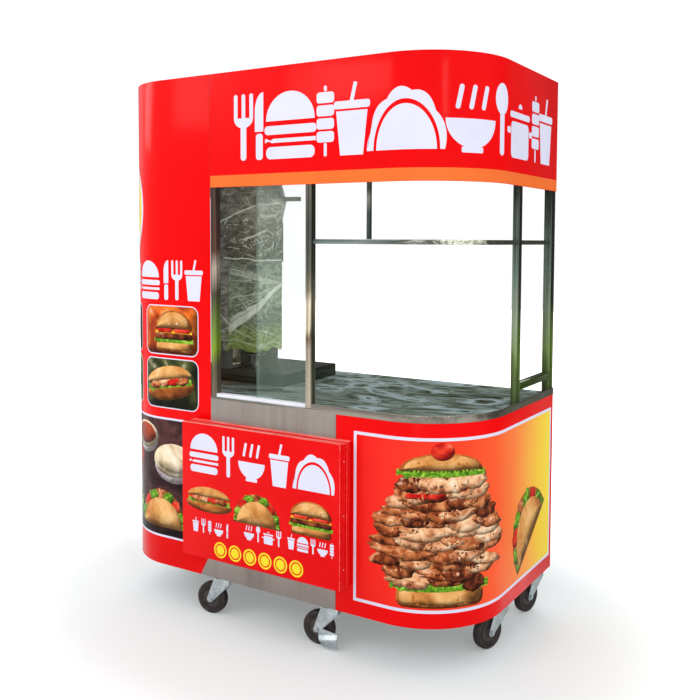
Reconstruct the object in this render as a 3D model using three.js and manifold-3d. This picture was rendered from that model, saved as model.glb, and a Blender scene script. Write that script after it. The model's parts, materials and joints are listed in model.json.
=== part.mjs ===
// Street food cart: a wheeled cabinet with a steel counter, a rounded canopy on
// square posts, a sliding glass hatch, a light box and a vertical spit grill.
// Millimetres, +Z up. The origin is on the floor under the middle of the cart,
// the customer side looks along -Y and the length lies along X.

import * as THREE from 'three';
import { mergeVertices } from 'three/addons/utils/BufferGeometryUtils.js';
import Module from 'manifold-3d';

const wasm = await Module();
wasm.setup();

// Driving sizes of the whole cart
const LENGTH = 1550;
const WIDTH = 770;
const HEIGHT = 2000;
const FRONT_LEFT_RADIUS = 265;
const FRONT_RIGHT_RADIUS = 290;
const CASTER_HEIGHT = 155;
const COUNTER_HEIGHT = 832;
const CANOPY_BOTTOM = 1594;
const SKIN = 3;
const GAP = 0.3;
const OVERRUN = 40;
const CORNER_STEPS = 14;

// Where the panels of the front and right side begin and end
const COLUMN_LENGTH = 515;
const SKIRT_LENGTH = 485;
const LEFT_WINDOW_DEPTH = 320;
const FOOT_LENGTH = 53;
const FOOT_HEIGHT = 99;

// Counter
const RIM_HEIGHT = 7;
const DECK_SHEET = 2;
const LIP_RISE = 18;

// Square tubes
const TUBE_WALL = 1.5;
const POST = 25;
const REAR_POST_DEPTH = 40;
const REAR_POST_WIDTH = 30;
const FRONT_POST_FROM_RIGHT = 613;
const SIDE_POST_FROM_FRONT = 405;
const RAIL = 16;
const RAIL_HEIGHT = 1394;
const HANGER = 13;
const HANGER_FROM_RIGHT = 375;
const SIDE_RAIL_RISE = 57;
const BOW = 25;
const BOW_SHARE = 0.42;

// Chassis and cabinet
const CHASSIS_TUBE = 30;
const CHASSIS_INSET = 40;
const FLOOR_SHEET = 1.5;
const STILE_WIDTH = 40;
const STILE_DEPTH = 20;
const DOOR_THICKNESS = 18;
const DOOR_SHEET = 2;
const DOOR_CLEARANCE = 3;
const DOOR_BORDER = 45;
const DOOR_RECESS = 3;
const HINGE_RADIUS = 6;
const HINGE_HEIGHT = 60;
const HINGE_SHARES = [0.14, 0.86];
const HANDLE_LENGTH = 130;
const HANDLE_REACH = 28;
const HANDLE_WIDTH = 10;
const HANDLE_FROM_EDGE = 30;
const HANDLE_HEIGHT_SHARE = 0.62;

// Canopy
const ROOF_DROP = 12;
const ROOF_SHEET = 1.5;
const REAR_FASCIA_HEIGHT = 300;

// Sliding hatch
const TRACK_DEPTH = 24;
const TRACK_HEIGHT = 13;
const TRACK_FLOOR = 3;
const GLASS = 5;
const GROOVE_CLEARANCE = 0.8;
const TOP_TRACK_DROP = 12;
const PANE_OVERLAP = 32;

// Light box
const BOX_HEIGHT = 490;
const BOX_OVER_COLUMN = 79;
const BOX_OVER_SKIRT = 61;
const BOX_TOP = 744;
const BOX_TRAY_DEPTH = 26;
const BOX_FRAME_DEPTH = 22;
const BOX_FACE_DEPTH = 20;
const BOX_STEP = 4;
const BOX_WALL = 6;
const BOX_FACE_RADIUS = 6;

// Vertical spit grill
const GRILL_LENGTH = 340;
const GRILL_DEPTH = 370;
const GRILL_BASE_HEIGHT = 50;
const GRILL_FROM_LEFT = 282;
const GRILL_FROM_FRONT = 300;
const GRILL_WALL = 3;
const GUARD_INSET = 30;
const GUARD_RISE = 53;
const MAST_LENGTH = 56;
const MAST_DEPTH = 28;
const MAST_INSET = 6;
const MAST_SPREAD = 170;
const MAST_TOP = 1477;
const HOUSING_LENGTH = 216;
const HOUSING_HEIGHT = 176;
const HOUSING_SLOT_LENGTH = 64;
const HOUSING_SLOT_HEIGHT = 42;
const HOUSING_SLOT_SHARE = 0.3;
const HOOD_LENGTH = 150;
const HOOD_HEIGHT = 159;
const BURNER_HEIGHT = 76;
const BURNER_DEPTH = 44;
const BURNER_ROWS = 2;
const BURNER_RECESS = 8;
const BURNER_BORDER = 7;
const BURNER_RIB = 4;
const BURNER_RIBS = 5;
const SPIT_RADIUS = 6;
const SPIT_FROM_MAST = 70;
const SPIT_DISC_RADIUS = 50;
const SPIT_DISC_THICKNESS = 5;
const SPIT_DISC_RISE = 58;
const SPIT_HUB_RADIUS = 14;
const SPIT_HUB_HEIGHT = 22;
const TRAY_CLEARANCE = 4;
const TRAY_WALL = 2;
const TRAY_PULL = 14;
const TRAY_PULL_WIDTH = 80;
const DRAIN_LENGTH = 150;
const DRAIN_WIDTH = 24;
const DRAIN_SPACING = 110;
const ARM_LENGTH = 133;
const ARM_HEIGHT = 17;
const ARM_DEPTH = 20;
const ARM_RISE = 82;
const KNOB_RADIUS = 17;
const KNOB_DEPTH = 18;
const KNOB_GRIP = 6;
const KNOB_SPACING = 60;
const KNOB_SPINDLE = 4;

// Swivel casters
const WHEEL_RADIUS = 60;
const WHEEL_WIDTH = 32;
const WHEEL_BORE = 5.4;
const WHEEL_STEPS = 24;
const HUB_RADIUS = 16;
const HUB_WIDTH = 34;
const WEB_WIDTH = 23;
const RIM_RADIUS = 35;
const GROOVE_RADIUS = 41;
const TYRE_RADIUS = 45;
const SHOULDER = 5;
const TRAIL = 38;
const PLATE_LENGTH = 95;
const PLATE_WIDTH = 76;
const PLATE_THICKNESS = 4;
const PLATE_RADIUS = 8;
const RACE_RADIUS = 27;
const RACE_HEIGHT = 9;
const RACE_TAPER = 5;
const CROWN_RADIUS = 27;
const CROWN_HEIGHT = 7;
const FORK_SHEET = 3.5;
const FORK_CLEARANCE = 2.2;
const LEG_TOP_LENGTH = 64;
const LEG_TOP_OFFSET = -13;
const LEG_SHOULDER = 20;
const LEG_END_RADIUS = 13;
const AXLE_RADIUS = 5;
const NUT_RADIUS = 9;
const NUT_HEIGHT = 6;
const BOLT_RADIUS = 6;
const BOLT_HEAD = 4;
const BOLT_INSET = 11;
const PEDAL_SHEET = 2.5;
const PEDAL_REACH = 86;
const PEDAL_END_RADIUS = 10;
const PEDAL_ROOT_FALL = 20;
const PEDAL_TIP_FALL = 3;
const PEDAL_STEP_OUT = 11;
const PEDAL_STEP_FALL = 13;
const PEDAL_LIP_FALL = 50;
const PEDAL_LIP_START = 34;

// Where the casters stand, from the nearest edges of the cart
const FRONT_CASTER_INSET = 48;
const RIGHT_CASTER_INSET = 54;
const FRONT_CASTER_FROM_COLUMN = 7;
const MIDDLE_CASTER_FROM_SKIRT = 57;
const RIGHT_CASTER_FROM_REAR = 55;
const RIGHT_CASTER_SPACING = 358;
const REAR_CASTER_FROM_LEFT = 110;

// Levels and edges that follow from the sizes above
const BOX_REACH = BOX_TRAY_DEPTH + BOX_FRAME_DEPTH + BOX_FACE_DEPTH + 3 * GAP;
const REAR_REACH = HANDLE_REACH + GAP;
const LEFT = -LENGTH / 2;
const RIGHT = LENGTH / 2;
const FRONT = (BOX_REACH - REAR_REACH - WIDTH) / 2;
const REAR = FRONT + WIDTH;
const SKIN_TOP = COUNTER_HEIGHT - RIM_HEIGHT - GAP;
const INSIDE = SKIN + GAP;
const DECK_TOP = COUNTER_HEIGHT;
const ROOF_TOP = HEIGHT - ROOF_DROP;
const POST_TOP = ROOF_TOP - ROOF_SHEET - GAP;
const FLOOR_TOP = CASTER_HEIGHT + CHASSIS_TUBE + GAP + FLOOR_SHEET;
const COLUMN_EDGE = LEFT + COLUMN_LENGTH;
const SKIRT_EDGE = RIGHT - SKIRT_LENGTH;
const JAMB_LEFT = COLUMN_EDGE + GAP;
const FRONT_POST_LEFT = RIGHT - FRONT_POST_FROM_RIGHT;
const SIDE_POST_FRONT = FRONT + SIDE_POST_FROM_FRONT;

// Stations along the outer outline, from the rear left corner round the front
const LEFT_ARC = WIDTH - FRONT_LEFT_RADIUS;
const FRONT_RUN = LEFT_ARC + (Math.PI / 2) * FRONT_LEFT_RADIUS;
const RIGHT_ARC = FRONT_RUN + LENGTH - FRONT_LEFT_RADIUS - FRONT_RIGHT_RADIUS;
const RIGHT_RUN = RIGHT_ARC + (Math.PI / 2) * FRONT_RIGHT_RADIUS;
const RIGHT_END = RIGHT_RUN + WIDTH - FRONT_RIGHT_RADIUS;

const COLOURS = {
  red: [0xd9151b, 0.28, 0.0],
  steel: [0x9c948c, 0.32, 1.0],
  zinc: [0xb9c4c6, 0.38, 1.0],
  rubber: [0x2b2726, 0.8, 0.0],
  white: [0xe9ebf2, 0.45, 0.0],
  glass: [0xa9c4b8, 0.08, 0.0],
  black: [0x161616, 0.5, 0.0],
  ceramic: [0xc9b8a4, 0.85, 0.0],
};

const cart = new THREE.Group();

// Helpers

function material(finish) {
  const [color, roughness, metalness] = COLOURS[finish];
  return new THREE.MeshStandardMaterial({ color, roughness, metalness });
}

function piece(name, geometry, finish, parent = cart) {
  const mesh = new THREE.Mesh(geometry, material(finish));
  mesh.name = name;
  parent.add(mesh);
  return mesh;
}

function toSolid(geometry) {
  const bare = geometry.clone();
  bare.deleteAttribute('normal');
  bare.deleteAttribute('uv');
  const merged = mergeVertices(bare);
  return new wasm.Manifold(new wasm.Mesh({
    numProp: 3,
    vertProperties: merged.attributes.position.array,
    triVerts: new Uint32Array(merged.index.array),
  }));
}

function toGeometry(solid) {
  const mesh = solid.getMesh();
  const geometry = new THREE.BufferGeometry();
  geometry.setAttribute('position', new THREE.BufferAttribute(mesh.vertProperties, 3));
  geometry.setIndex(new THREE.BufferAttribute(mesh.triVerts, 1));
  return geometry;
}

function join(...geometries) {
  return toGeometry(geometries.map(toSolid).reduce((all, next) => all.add(next)));
}

function cut(geometry, ...tools) {
  return toGeometry(tools.map(toSolid).reduce((all, next) => all.subtract(next), toSolid(geometry)));
}

function intersect(first, second) {
  return toGeometry(toSolid(first).intersect(toSolid(second)));
}

// A box between two corners
function block(x0, x1, y0, y1, z0, z1) {
  const geometry = new THREE.BoxGeometry(x1 - x0, y1 - y0, z1 - z0);
  return geometry.translate((x0 + x1) / 2, (y0 + y1) / 2, (z0 + z1) / 2);
}

// A square tube with open ends, along the axis 'x', 'y' or 'z'
function tube(axis, x0, x1, y0, y1, z0, z1) {
  const inwards = (name) => (name === axis ? -OVERRUN : TUBE_WALL);
  const core = block(
    x0 + inwards('x'),
    x1 - inwards('x'),
    y0 + inwards('y'),
    y1 - inwards('y'),
    z0 + inwards('z'),
    z1 - inwards('z'),
  );
  return cut(block(x0, x1, y0, y1, z0, z1), core);
}

// A shape drawn in plan, raised from z0 to z1
function raise(shape, z0, z1) {
  const geometry = new THREE.ExtrudeGeometry(shape, { depth: z1 - z0, bevelEnabled: false });
  return geometry.translate(0, 0, z0);
}

// A shape drawn in X and Z, given a thickness from y0 to y1
function acrossY(shape, y0, y1) {
  const geometry = new THREE.ExtrudeGeometry(shape, { depth: y1 - y0, bevelEnabled: false });
  return geometry.rotateX(Math.PI / 2).translate(0, y1, 0);
}

// A shape drawn in Y and Z, given a thickness from x0 to x1
function acrossX(shape, x0, x1) {
  const geometry = new THREE.ExtrudeGeometry(shape, { depth: x1 - x0, bevelEnabled: false });
  return geometry.rotateX(Math.PI / 2).rotateZ(Math.PI / 2).translate(x0, 0, 0);
}

function rod(radius, height, steps) {
  return new THREE.CylinderGeometry(radius, radius, height, steps).rotateX(Math.PI / 2);
}

function rodAlongY(radius, height, steps) {
  return new THREE.CylinderGeometry(radius, radius, height, steps);
}

function roundedRectangle(x0, x1, y0, y1, radius) {
  const shape = new THREE.Shape();
  shape.moveTo(x0 + radius, y0);
  shape.lineTo(x1 - radius, y0);
  shape.absarc(x1 - radius, y0 + radius, radius, -Math.PI / 2, 0);
  shape.lineTo(x1, y1 - radius);
  shape.absarc(x1 - radius, y1 - radius, radius, 0, Math.PI / 2);
  shape.lineTo(x0 + radius, y1);
  shape.absarc(x0 + radius, y1 - radius, radius, Math.PI / 2, Math.PI);
  shape.lineTo(x0, y0 + radius);
  shape.absarc(x0 + radius, y0 + radius, radius, Math.PI, 1.5 * Math.PI);
  return shape;
}

// The point of the outline at a station, moved inwards by an inset
function outlineAt(station, inset) {
  if (station <= LEFT_ARC) {
    return new THREE.Vector2(LEFT + inset, REAR - station);
  }
  if (station < FRONT_RUN) {
    const turn = (station - LEFT_ARC) / FRONT_LEFT_RADIUS;
    const reach = FRONT_LEFT_RADIUS - inset;
    return new THREE.Vector2(
      LEFT + FRONT_LEFT_RADIUS - reach * Math.cos(turn),
      FRONT + FRONT_LEFT_RADIUS - reach * Math.sin(turn),
    );
  }
  if (station <= RIGHT_ARC) {
    return new THREE.Vector2(LEFT + FRONT_LEFT_RADIUS + station - FRONT_RUN, FRONT + inset);
  }
  if (station < RIGHT_RUN) {
    const turn = (station - RIGHT_ARC) / FRONT_RIGHT_RADIUS;
    const reach = FRONT_RIGHT_RADIUS - inset;
    return new THREE.Vector2(
      RIGHT - FRONT_RIGHT_RADIUS + reach * Math.sin(turn),
      FRONT + FRONT_RIGHT_RADIUS - reach * Math.cos(turn),
    );
  }
  return new THREE.Vector2(RIGHT - inset, FRONT + FRONT_RIGHT_RADIUS + station - RIGHT_RUN);
}

function frontStation(x) {
  return FRONT_RUN + x - LEFT - FRONT_LEFT_RADIUS;
}

function rightStation(y) {
  return RIGHT_RUN + y - FRONT - FRONT_RIGHT_RADIUS;
}

// Points of the outline between two stations: both ends and the steps of the arcs
function stretch(from, to, inset) {
  const stations = [from];
  for (const [start, end] of [[LEFT_ARC, FRONT_RUN], [RIGHT_ARC, RIGHT_RUN]]) {
    for (let step = 0; step <= CORNER_STEPS; step++) {
      const station = start + ((end - start) * step) / CORNER_STEPS;
      if (station > from && station < to) stations.push(station);
    }
  }
  stations.push(to);
  return stations.map((station) => outlineAt(station, inset));
}

// A wall that follows the outline between two stations
function band(from, to, inset, thickness, z0, z1) {
  const outer = stretch(from, to, inset);
  const inner = stretch(from, to, inset + thickness).reverse();
  return raise(new THREE.Shape([...outer, ...inner]), z0, z1);
}

// A square tube with open ends that follows the outline between two stations
function bentTube(from, to, inset, size, z0, z1) {
  const outside = band(from, to, inset, size, z0, z1);
  const core = band(
    from - OVERRUN,
    to + OVERRUN,
    inset + TUBE_WALL,
    size - 2 * TUBE_WALL,
    z0 + TUBE_WALL,
    z1 - TUBE_WALL,
  );
  return cut(outside, core);
}

// A sheet that fills the outline, square at the back
function sheet(inset, rearInset, z0, z1) {
  return raise(new THREE.Shape(stretch(rearInset, RIGHT_END - rearInset, inset)), z0, z1);
}

// Chassis

function chassis() {
  const z0 = CASTER_HEIGHT;
  const z1 = CASTER_HEIGHT + CHASSIS_TUBE;
  const rearFace = REAR - CHASSIS_INSET;
  const railEnd = CHASSIS_INSET + CHASSIS_TUBE + GAP;
  const frontRail = bentTube(railEnd, RIGHT_END - railEnd, CHASSIS_INSET, CHASSIS_TUBE, z0, z1);
  piece('base_rail_front', frontRail, 'steel');
  const rearRailFront = rearFace - CHASSIS_TUBE;
  const rearRail = tube('x', LEFT + CHASSIS_INSET, RIGHT - CHASSIS_INSET, rearRailFront, rearFace, z0, z1);
  piece('base_rail_rear', rearRail, 'steel');
  const crossFront = FRONT + CHASSIS_INSET + CHASSIS_TUBE + GAP;
  const cross = tube('y', -CHASSIS_TUBE / 2, CHASSIS_TUBE / 2, crossFront, REAR - railEnd, z0, z1);
  piece('base_cross_rail', cross, 'steel');
  const floor = sheet(INSIDE, STILE_DEPTH + GAP, z1 + GAP, FLOOR_TOP);
  piece('cabinet_floor', cut(floor, ...rearPostTools(z1, FLOOR_TOP + OVERRUN)), 'steel');
}

// Boxes that clear the two rear posts where they pass a sheet
function rearPostTools(z0, z1) {
  const depth = REAR_POST_DEPTH + INSIDE + GAP;
  const width = REAR_POST_WIDTH + INSIDE + GAP;
  return [
    block(LEFT - OVERRUN, LEFT + width, REAR - depth, REAR + OVERRUN, z0, z1),
    block(RIGHT - width, RIGHT + OVERRUN, REAR - depth, REAR + OVERRUN, z0, z1),
  ];
}

// Lower body

function lowerBody() {
  const panelStart = frontStation(COLUMN_EDGE + GAP);
  const panelEnd = frontStation(SKIRT_EDGE - GAP);
  const panel = band(panelStart, panelEnd, 0, SKIN, CASTER_HEIGHT, SKIN_TOP);
  const foot = acrossY(columnFoot(2 * GAP, SKIN), FRONT, FRONT + SKIN);
  piece('front_panel', join(panel, foot), 'steel');
  const skirt = band(frontStation(SKIRT_EDGE), RIGHT_END, 0, SKIN, CASTER_HEIGHT, SKIN_TOP);
  piece('right_skirt', skirt, 'red');
  leftSkin();
  rearSide();
}

// The three-cornered foot of the steel panel, for which the column's lower corner is cut away.
// It stands back from the cut by a gap and runs on past the column's edge by a lap
function columnFoot(gap, lap) {
  const side = COLUMN_EDGE + gap;
  const top = CASTER_HEIGHT + FOOT_HEIGHT;
  const shape = new THREE.Shape();
  shape.moveTo(side - FOOT_LENGTH, CASTER_HEIGHT);
  shape.lineTo(side + lap, CASTER_HEIGHT);
  shape.lineTo(side + lap, top);
  shape.lineTo(side, top);
  return shape;
}

// The tall red wrap: full height round the front left corner, with the side window cut out
function leftSkin() {
  const wrap = band(0, frontStation(COLUMN_EDGE), 0, SKIN, CASTER_HEIGHT, HEIGHT);
  const window = block(
    LEFT - OVERRUN,
    LEFT + OVERRUN,
    REAR - LEFT_WINDOW_DEPTH,
    REAR + OVERRUN,
    DECK_TOP + LIP_RISE,
    CANOPY_BOTTOM,
  );
  const foot = acrossY(columnFoot(0, OVERRUN), FRONT - OVERRUN, FRONT + OVERRUN);
  piece('left_skin', cut(wrap, window, foot), 'red');
}

function rearSide() {
  const stile = tube(
    'z',
    -STILE_WIDTH / 2,
    STILE_WIDTH / 2,
    REAR - STILE_DEPTH,
    REAR,
    CASTER_HEIGHT + CHASSIS_TUBE + GAP,
    SKIN_TOP,
  );
  piece('rear_stile', stile, 'steel');
  for (const side of ['left', 'right']) {
    rearDoor(side);
  }
}

// Doors are folded pans with a raised border, drawn for the left side and mirrored in x
function rearDoor(side) {
  const sign = side === 'left' ? 1 : -1;
  const outer = LEFT + INSIDE + REAR_POST_WIDTH + GAP + HINGE_RADIUS;
  const inner = -STILE_WIDTH / 2 - DOOR_CLEARANCE;
  const z0 = FLOOR_TOP + DOOR_CLEARANCE;
  const z1 = SKIN_TOP - DOOR_CLEARANCE;
  const y1 = REAR;
  const y0 = REAR - DOOR_THICKNESS;
  const leaf = mirrored(sign, outer, inner, y0, y1, z0, z1);
  const field = doorBox(sign, outer, inner, z0, z1, DOOR_BORDER, y1 - DOOR_RECESS, y1 + OVERRUN);
  const back = y1 - DOOR_RECESS - DOOR_SHEET;
  const pan = doorBox(sign, outer, inner, z0, z1, DOOR_SHEET, y0 - OVERRUN, back);
  const knuckles = HINGE_SHARES.map((share) => {
    const middle = z0 + (z1 - z0) * share;
    return rod(HINGE_RADIUS, HINGE_HEIGHT, 12).translate(sign * outer, y1 - HINGE_RADIUS, middle);
  });
  piece(`rear_door_${side}`, join(cut(leaf, field, pan), ...knuckles), 'steel');
  rearHandle(side, sign, inner, z0 + (z1 - z0) * HANDLE_HEIGHT_SHARE);
}

// A box inside a door's edges by a margin, between two depths
function doorBox(sign, outer, inner, z0, z1, margin, y0, y1) {
  return mirrored(sign, outer + margin, inner - margin, y0, y1, z0 + margin, z1 - margin);
}

function rearHandle(side, sign, inner, middle) {
  const x0 = inner - HANDLE_FROM_EDGE - HANDLE_WIDTH;
  const x1 = inner - HANDLE_FROM_EDGE;
  const z0 = middle - HANDLE_LENGTH / 2;
  const z1 = middle + HANDLE_LENGTH / 2;
  const y0 = REAR + GAP;
  const bar = mirrored(sign, x0, x1, y0, y0 + HANDLE_REACH, z0, z1);
  const hollow = mirrored(
    sign,
    x0 - OVERRUN,
    x1 + OVERRUN,
    y0 - OVERRUN,
    y0 + HANDLE_REACH - HANDLE_WIDTH,
    z0 + HANDLE_WIDTH,
    z1 - HANDLE_WIDTH,
  );
  piece(`door_handle_${side}`, cut(bar, hollow), 'steel');
}

function mirrored(sign, x0, x1, y0, y1, z0, z1) {
  return sign > 0 ? block(x0, x1, y0, y1, z0, z1) : block(-x1, -x0, y0, y1, z0, z1);
}

// Counter: a sheet deck, a rim that rests on the skins and a raised lip on the customer side
function counter() {
  const z0 = SKIN_TOP + GAP;
  const deck = sheet(INSIDE, 0, DECK_TOP - DECK_SHEET, DECK_TOP);
  const rim = band(frontStation(JAMB_LEFT), RIGHT_END, 0, INSIDE + SKIN, z0, DECK_TOP);
  const leftRim = band(0, frontStation(COLUMN_EDGE), INSIDE, SKIN, z0, DECK_TOP);
  const lipStart = frontStation(FRONT_POST_LEFT + POST + GAP);
  const lip = band(lipStart, RIGHT_END, 0, SKIN, z0, DECK_TOP + LIP_RISE);
  const rearRim = block(LEFT + INSIDE, RIGHT - INSIDE, REAR - STILE_DEPTH, REAR, z0, DECK_TOP);
  const whole = join(deck, rim, leftRim, lip, rearRim);
  piece('counter_top', cut(whole, ...counterPostTools()), 'steel');
}

// The rear posts pass through the deck, inside the right lip
function counterPostTools() {
  const z0 = SKIN_TOP - OVERRUN;
  const z1 = DECK_TOP + LIP_RISE + OVERRUN;
  const depth = REAR_POST_DEPTH + GAP;
  return [
    block(LEFT - OVERRUN, LEFT + INSIDE + REAR_POST_WIDTH + GAP, REAR - depth, REAR + OVERRUN, z0, z1),
    block(
      RIGHT - INSIDE - REAR_POST_WIDTH - GAP,
      RIGHT - INSIDE + GAP,
      REAR - depth,
      REAR + OVERRUN,
      z0,
      z1,
    ),
  ];
}

// Posts and rails

function posts() {
  const foot = DECK_TOP + GAP;
  const y0 = FRONT + INSIDE;
  const y1 = y0 + POST;
  piece('jamb_post', tube('z', JAMB_LEFT, JAMB_LEFT + POST, y0, y1, foot, POST_TOP), 'steel');
  const frontRight = FRONT_POST_LEFT + POST;
  piece('front_post', tube('z', FRONT_POST_LEFT, frontRight, y0, y1, foot, POST_TOP), 'steel');
  const x1 = RIGHT - INSIDE;
  const sideRear = SIDE_POST_FRONT + POST;
  piece('side_post', tube('z', x1 - POST, x1, SIDE_POST_FRONT, sideRear, foot, POST_TOP), 'steel');
  rearPost('rear_right_post', x1 - REAR_POST_WIDTH, x1);
  const x0 = LEFT + INSIDE;
  rearPost('rear_left_post', x0, x0 + REAR_POST_WIDTH);
}

// A rear post runs from the floor to the roof
function rearPost(name, x0, x1) {
  const foot = CASTER_HEIGHT + CHASSIS_TUBE + GAP;
  const post = tube('z', x0, x1, REAR - REAR_POST_DEPTH, REAR - INSIDE, foot, POST_TOP);
  piece(name, post, 'steel');
}

function rails() {
  const z0 = RAIL_HEIGHT;
  const z1 = RAIL_HEIGHT + RAIL;
  const inset = INSIDE + (POST - RAIL) / 2;
  const start = frontStation(FRONT_POST_LEFT + POST + GAP);
  const end = rightStation(SIDE_POST_FRONT - GAP);
  piece('serving_rail', bentTube(start, end, inset, RAIL, z0, z1), 'steel');
  const y0 = SIDE_POST_FRONT + POST + GAP;
  const y1 = REAR - REAR_POST_DEPTH - GAP;
  const x1 = RIGHT - inset;
  piece('side_rail_upper', tube('y', x1 - RAIL, x1, y0, y1, z0, z1), 'steel');
  const lowX1 = RIGHT - INSIDE;
  const low = DECK_TOP + SIDE_RAIL_RISE;
  piece('side_rail_lower', tube('y', lowX1 - POST, lowX1, y0, y1, low, low + POST), 'steel');
  const hangerX = RIGHT - HANGER_FROM_RIGHT;
  const hangerY = FRONT + inset + (RAIL - HANGER) / 2;
  const hanger = tube('z', hangerX, hangerX + HANGER, hangerY, hangerY + HANGER, z1 + GAP, POST_TOP);
  piece('rail_hanger', hanger, 'steel');
}

// Canopy

function canopy() {
  const start = frontStation(COLUMN_EDGE + GAP);
  piece('canopy_fascia', band(start, RIGHT_END, 0, SKIN, CANOPY_BOTTOM, HEIGHT), 'red');
  const rearBottom = HEIGHT - REAR_FASCIA_HEIGHT;
  const rear = block(LEFT + INSIDE, RIGHT - INSIDE, REAR - SKIN, REAR, rearBottom, HEIGHT);
  piece('rear_fascia', rear, 'red');
  piece('roof_panel', sheet(INSIDE, INSIDE, ROOF_TOP - ROOF_SHEET, ROOF_TOP), 'steel');
  const bowY = FRONT + WIDTH * BOW_SHARE;
  const bow = tube('x', LEFT + INSIDE, RIGHT - INSIDE, bowY, bowY + BOW, POST_TOP - BOW, POST_TOP);
  piece('roof_bow', bow, 'steel');
}

// Sliding hatch: two panes in twin channels between the jamb and the front post

function hatch() {
  const x0 = JAMB_LEFT + POST + GAP;
  const x1 = FRONT_POST_LEFT - GAP;
  const lowTop = DECK_TOP + GAP + TRACK_HEIGHT;
  const highBottom = CANOPY_BOTTOM + TOP_TRACK_DROP;
  piece('track_bottom', acrossX(trackShape(DECK_TOP + GAP, lowTop), x0, x1), 'white');
  piece('track_top', acrossX(trackShape(highBottom + TRACK_HEIGHT, highBottom), x0, x1), 'steel');
  const paneWidth = (x1 - x0 + PANE_OVERLAP) / 2;
  const paneLeft = x1 - GAP - paneWidth;
  const z0 = DECK_TOP + GAP + TRACK_FLOOR + GAP;
  const z1 = highBottom + TRACK_HEIGHT - TRACK_FLOOR - GAP;
  for (const [name, place] of [['glass_pane_outer', 0], ['glass_pane_inner', 1]]) {
    const y0 = grooveStart(place) + GROOVE_CLEARANCE / 2;
    piece(name, block(paneLeft, paneLeft + paneWidth, y0, y0 + GLASS, z0, z1), 'glass');
  }
}

function grooveStart(place) {
  const rib = (TRACK_DEPTH - 2 * (GLASS + GROOVE_CLEARANCE)) / 3;
  return FRONT + INSIDE + rib + place * (GLASS + GROOVE_CLEARANCE + rib);
}

// Section of a twin channel; floor and mouth are heights, in either order
function trackShape(floor, mouth) {
  const y0 = FRONT + INSIDE;
  const bed = floor + Math.sign(mouth - floor) * TRACK_FLOOR;
  const groove = GLASS + GROOVE_CLEARANCE;
  const points = [[y0, floor], [y0 + TRACK_DEPTH, floor], [y0 + TRACK_DEPTH, mouth]];
  for (const place of [1, 0]) {
    const start = grooveStart(place);
    points.push([start + groove, mouth], [start + groove, bed], [start, bed], [start, mouth]);
  }
  points.push([y0, mouth]);
  return new THREE.Shape(points.map(([y, z]) => new THREE.Vector2(y, z)));
}

// Light box on the front panel: a back tray, a frame and a face, each a step smaller

function lightBox() {
  const x0 = COLUMN_EDGE - BOX_OVER_COLUMN;
  const x1 = SKIRT_EDGE + BOX_OVER_SKIRT;
  const y1 = FRONT - GAP;
  const y2 = y1 - BOX_TRAY_DEPTH;
  const y3 = y2 - GAP - BOX_FRAME_DEPTH;
  const y4 = y3 - GAP - BOX_FACE_DEPTH;
  const z0 = BOX_TOP - BOX_HEIGHT;
  const tray = boxShell(x0, x1, z0, BOX_TOP, 0, y2, y1, BOX_WALL, 0);
  piece('light_box_tray', tray, 'red');
  piece('light_box_frame', boxShell(x0, x1, z0, BOX_TOP, BOX_STEP, y3, y2 - GAP, 0, 0), 'red');
  piece('light_box_face', boxShell(x0, x1, z0, BOX_TOP, 0, y4, y3 - GAP, 0, BOX_WALL), 'red');
}

// A shallow tray between y0 and y1; back and front are the plates that close it, 0 for none
function boxShell(x0, x1, z0, z1, step, y0, y1, back, front) {
  const rim = step + BOX_WALL;
  const outer = roundedRectangle(x0 + step, x1 - step, z0 + step, z1 - step, BOX_FACE_RADIUS);
  const inner = block(
    x0 + rim,
    x1 - rim,
    front > 0 ? y0 + front : y0 - OVERRUN,
    back > 0 ? y1 - back : y1 + OVERRUN,
    z0 + rim,
    z1 - rim,
  );
  return cut(acrossY(outer, y0, y1), inner);
}

// Grill

function grill() {
  const x0 = LEFT + GRILL_FROM_LEFT;
  const y0 = FRONT + GRILL_FROM_FRONT;
  const z0 = DECK_TOP + GAP;
  const baseTop = z0 + GRILL_BASE_HEIGHT;
  const mastX = x0 + MAST_INSET;
  grillBase(x0, y0, z0);
  grillMasts(mastX, y0, baseTop + GAP);
  grillHousing(mastX, y0, MAST_TOP + GAP);
  grillHood(mastX + MAST_LENGTH + GAP, y0);
  grillSpit(mastX + MAST_LENGTH + SPIT_FROM_MAST, y0 + MAST_SPREAD / 2, baseTop + GAP);
}

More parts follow.
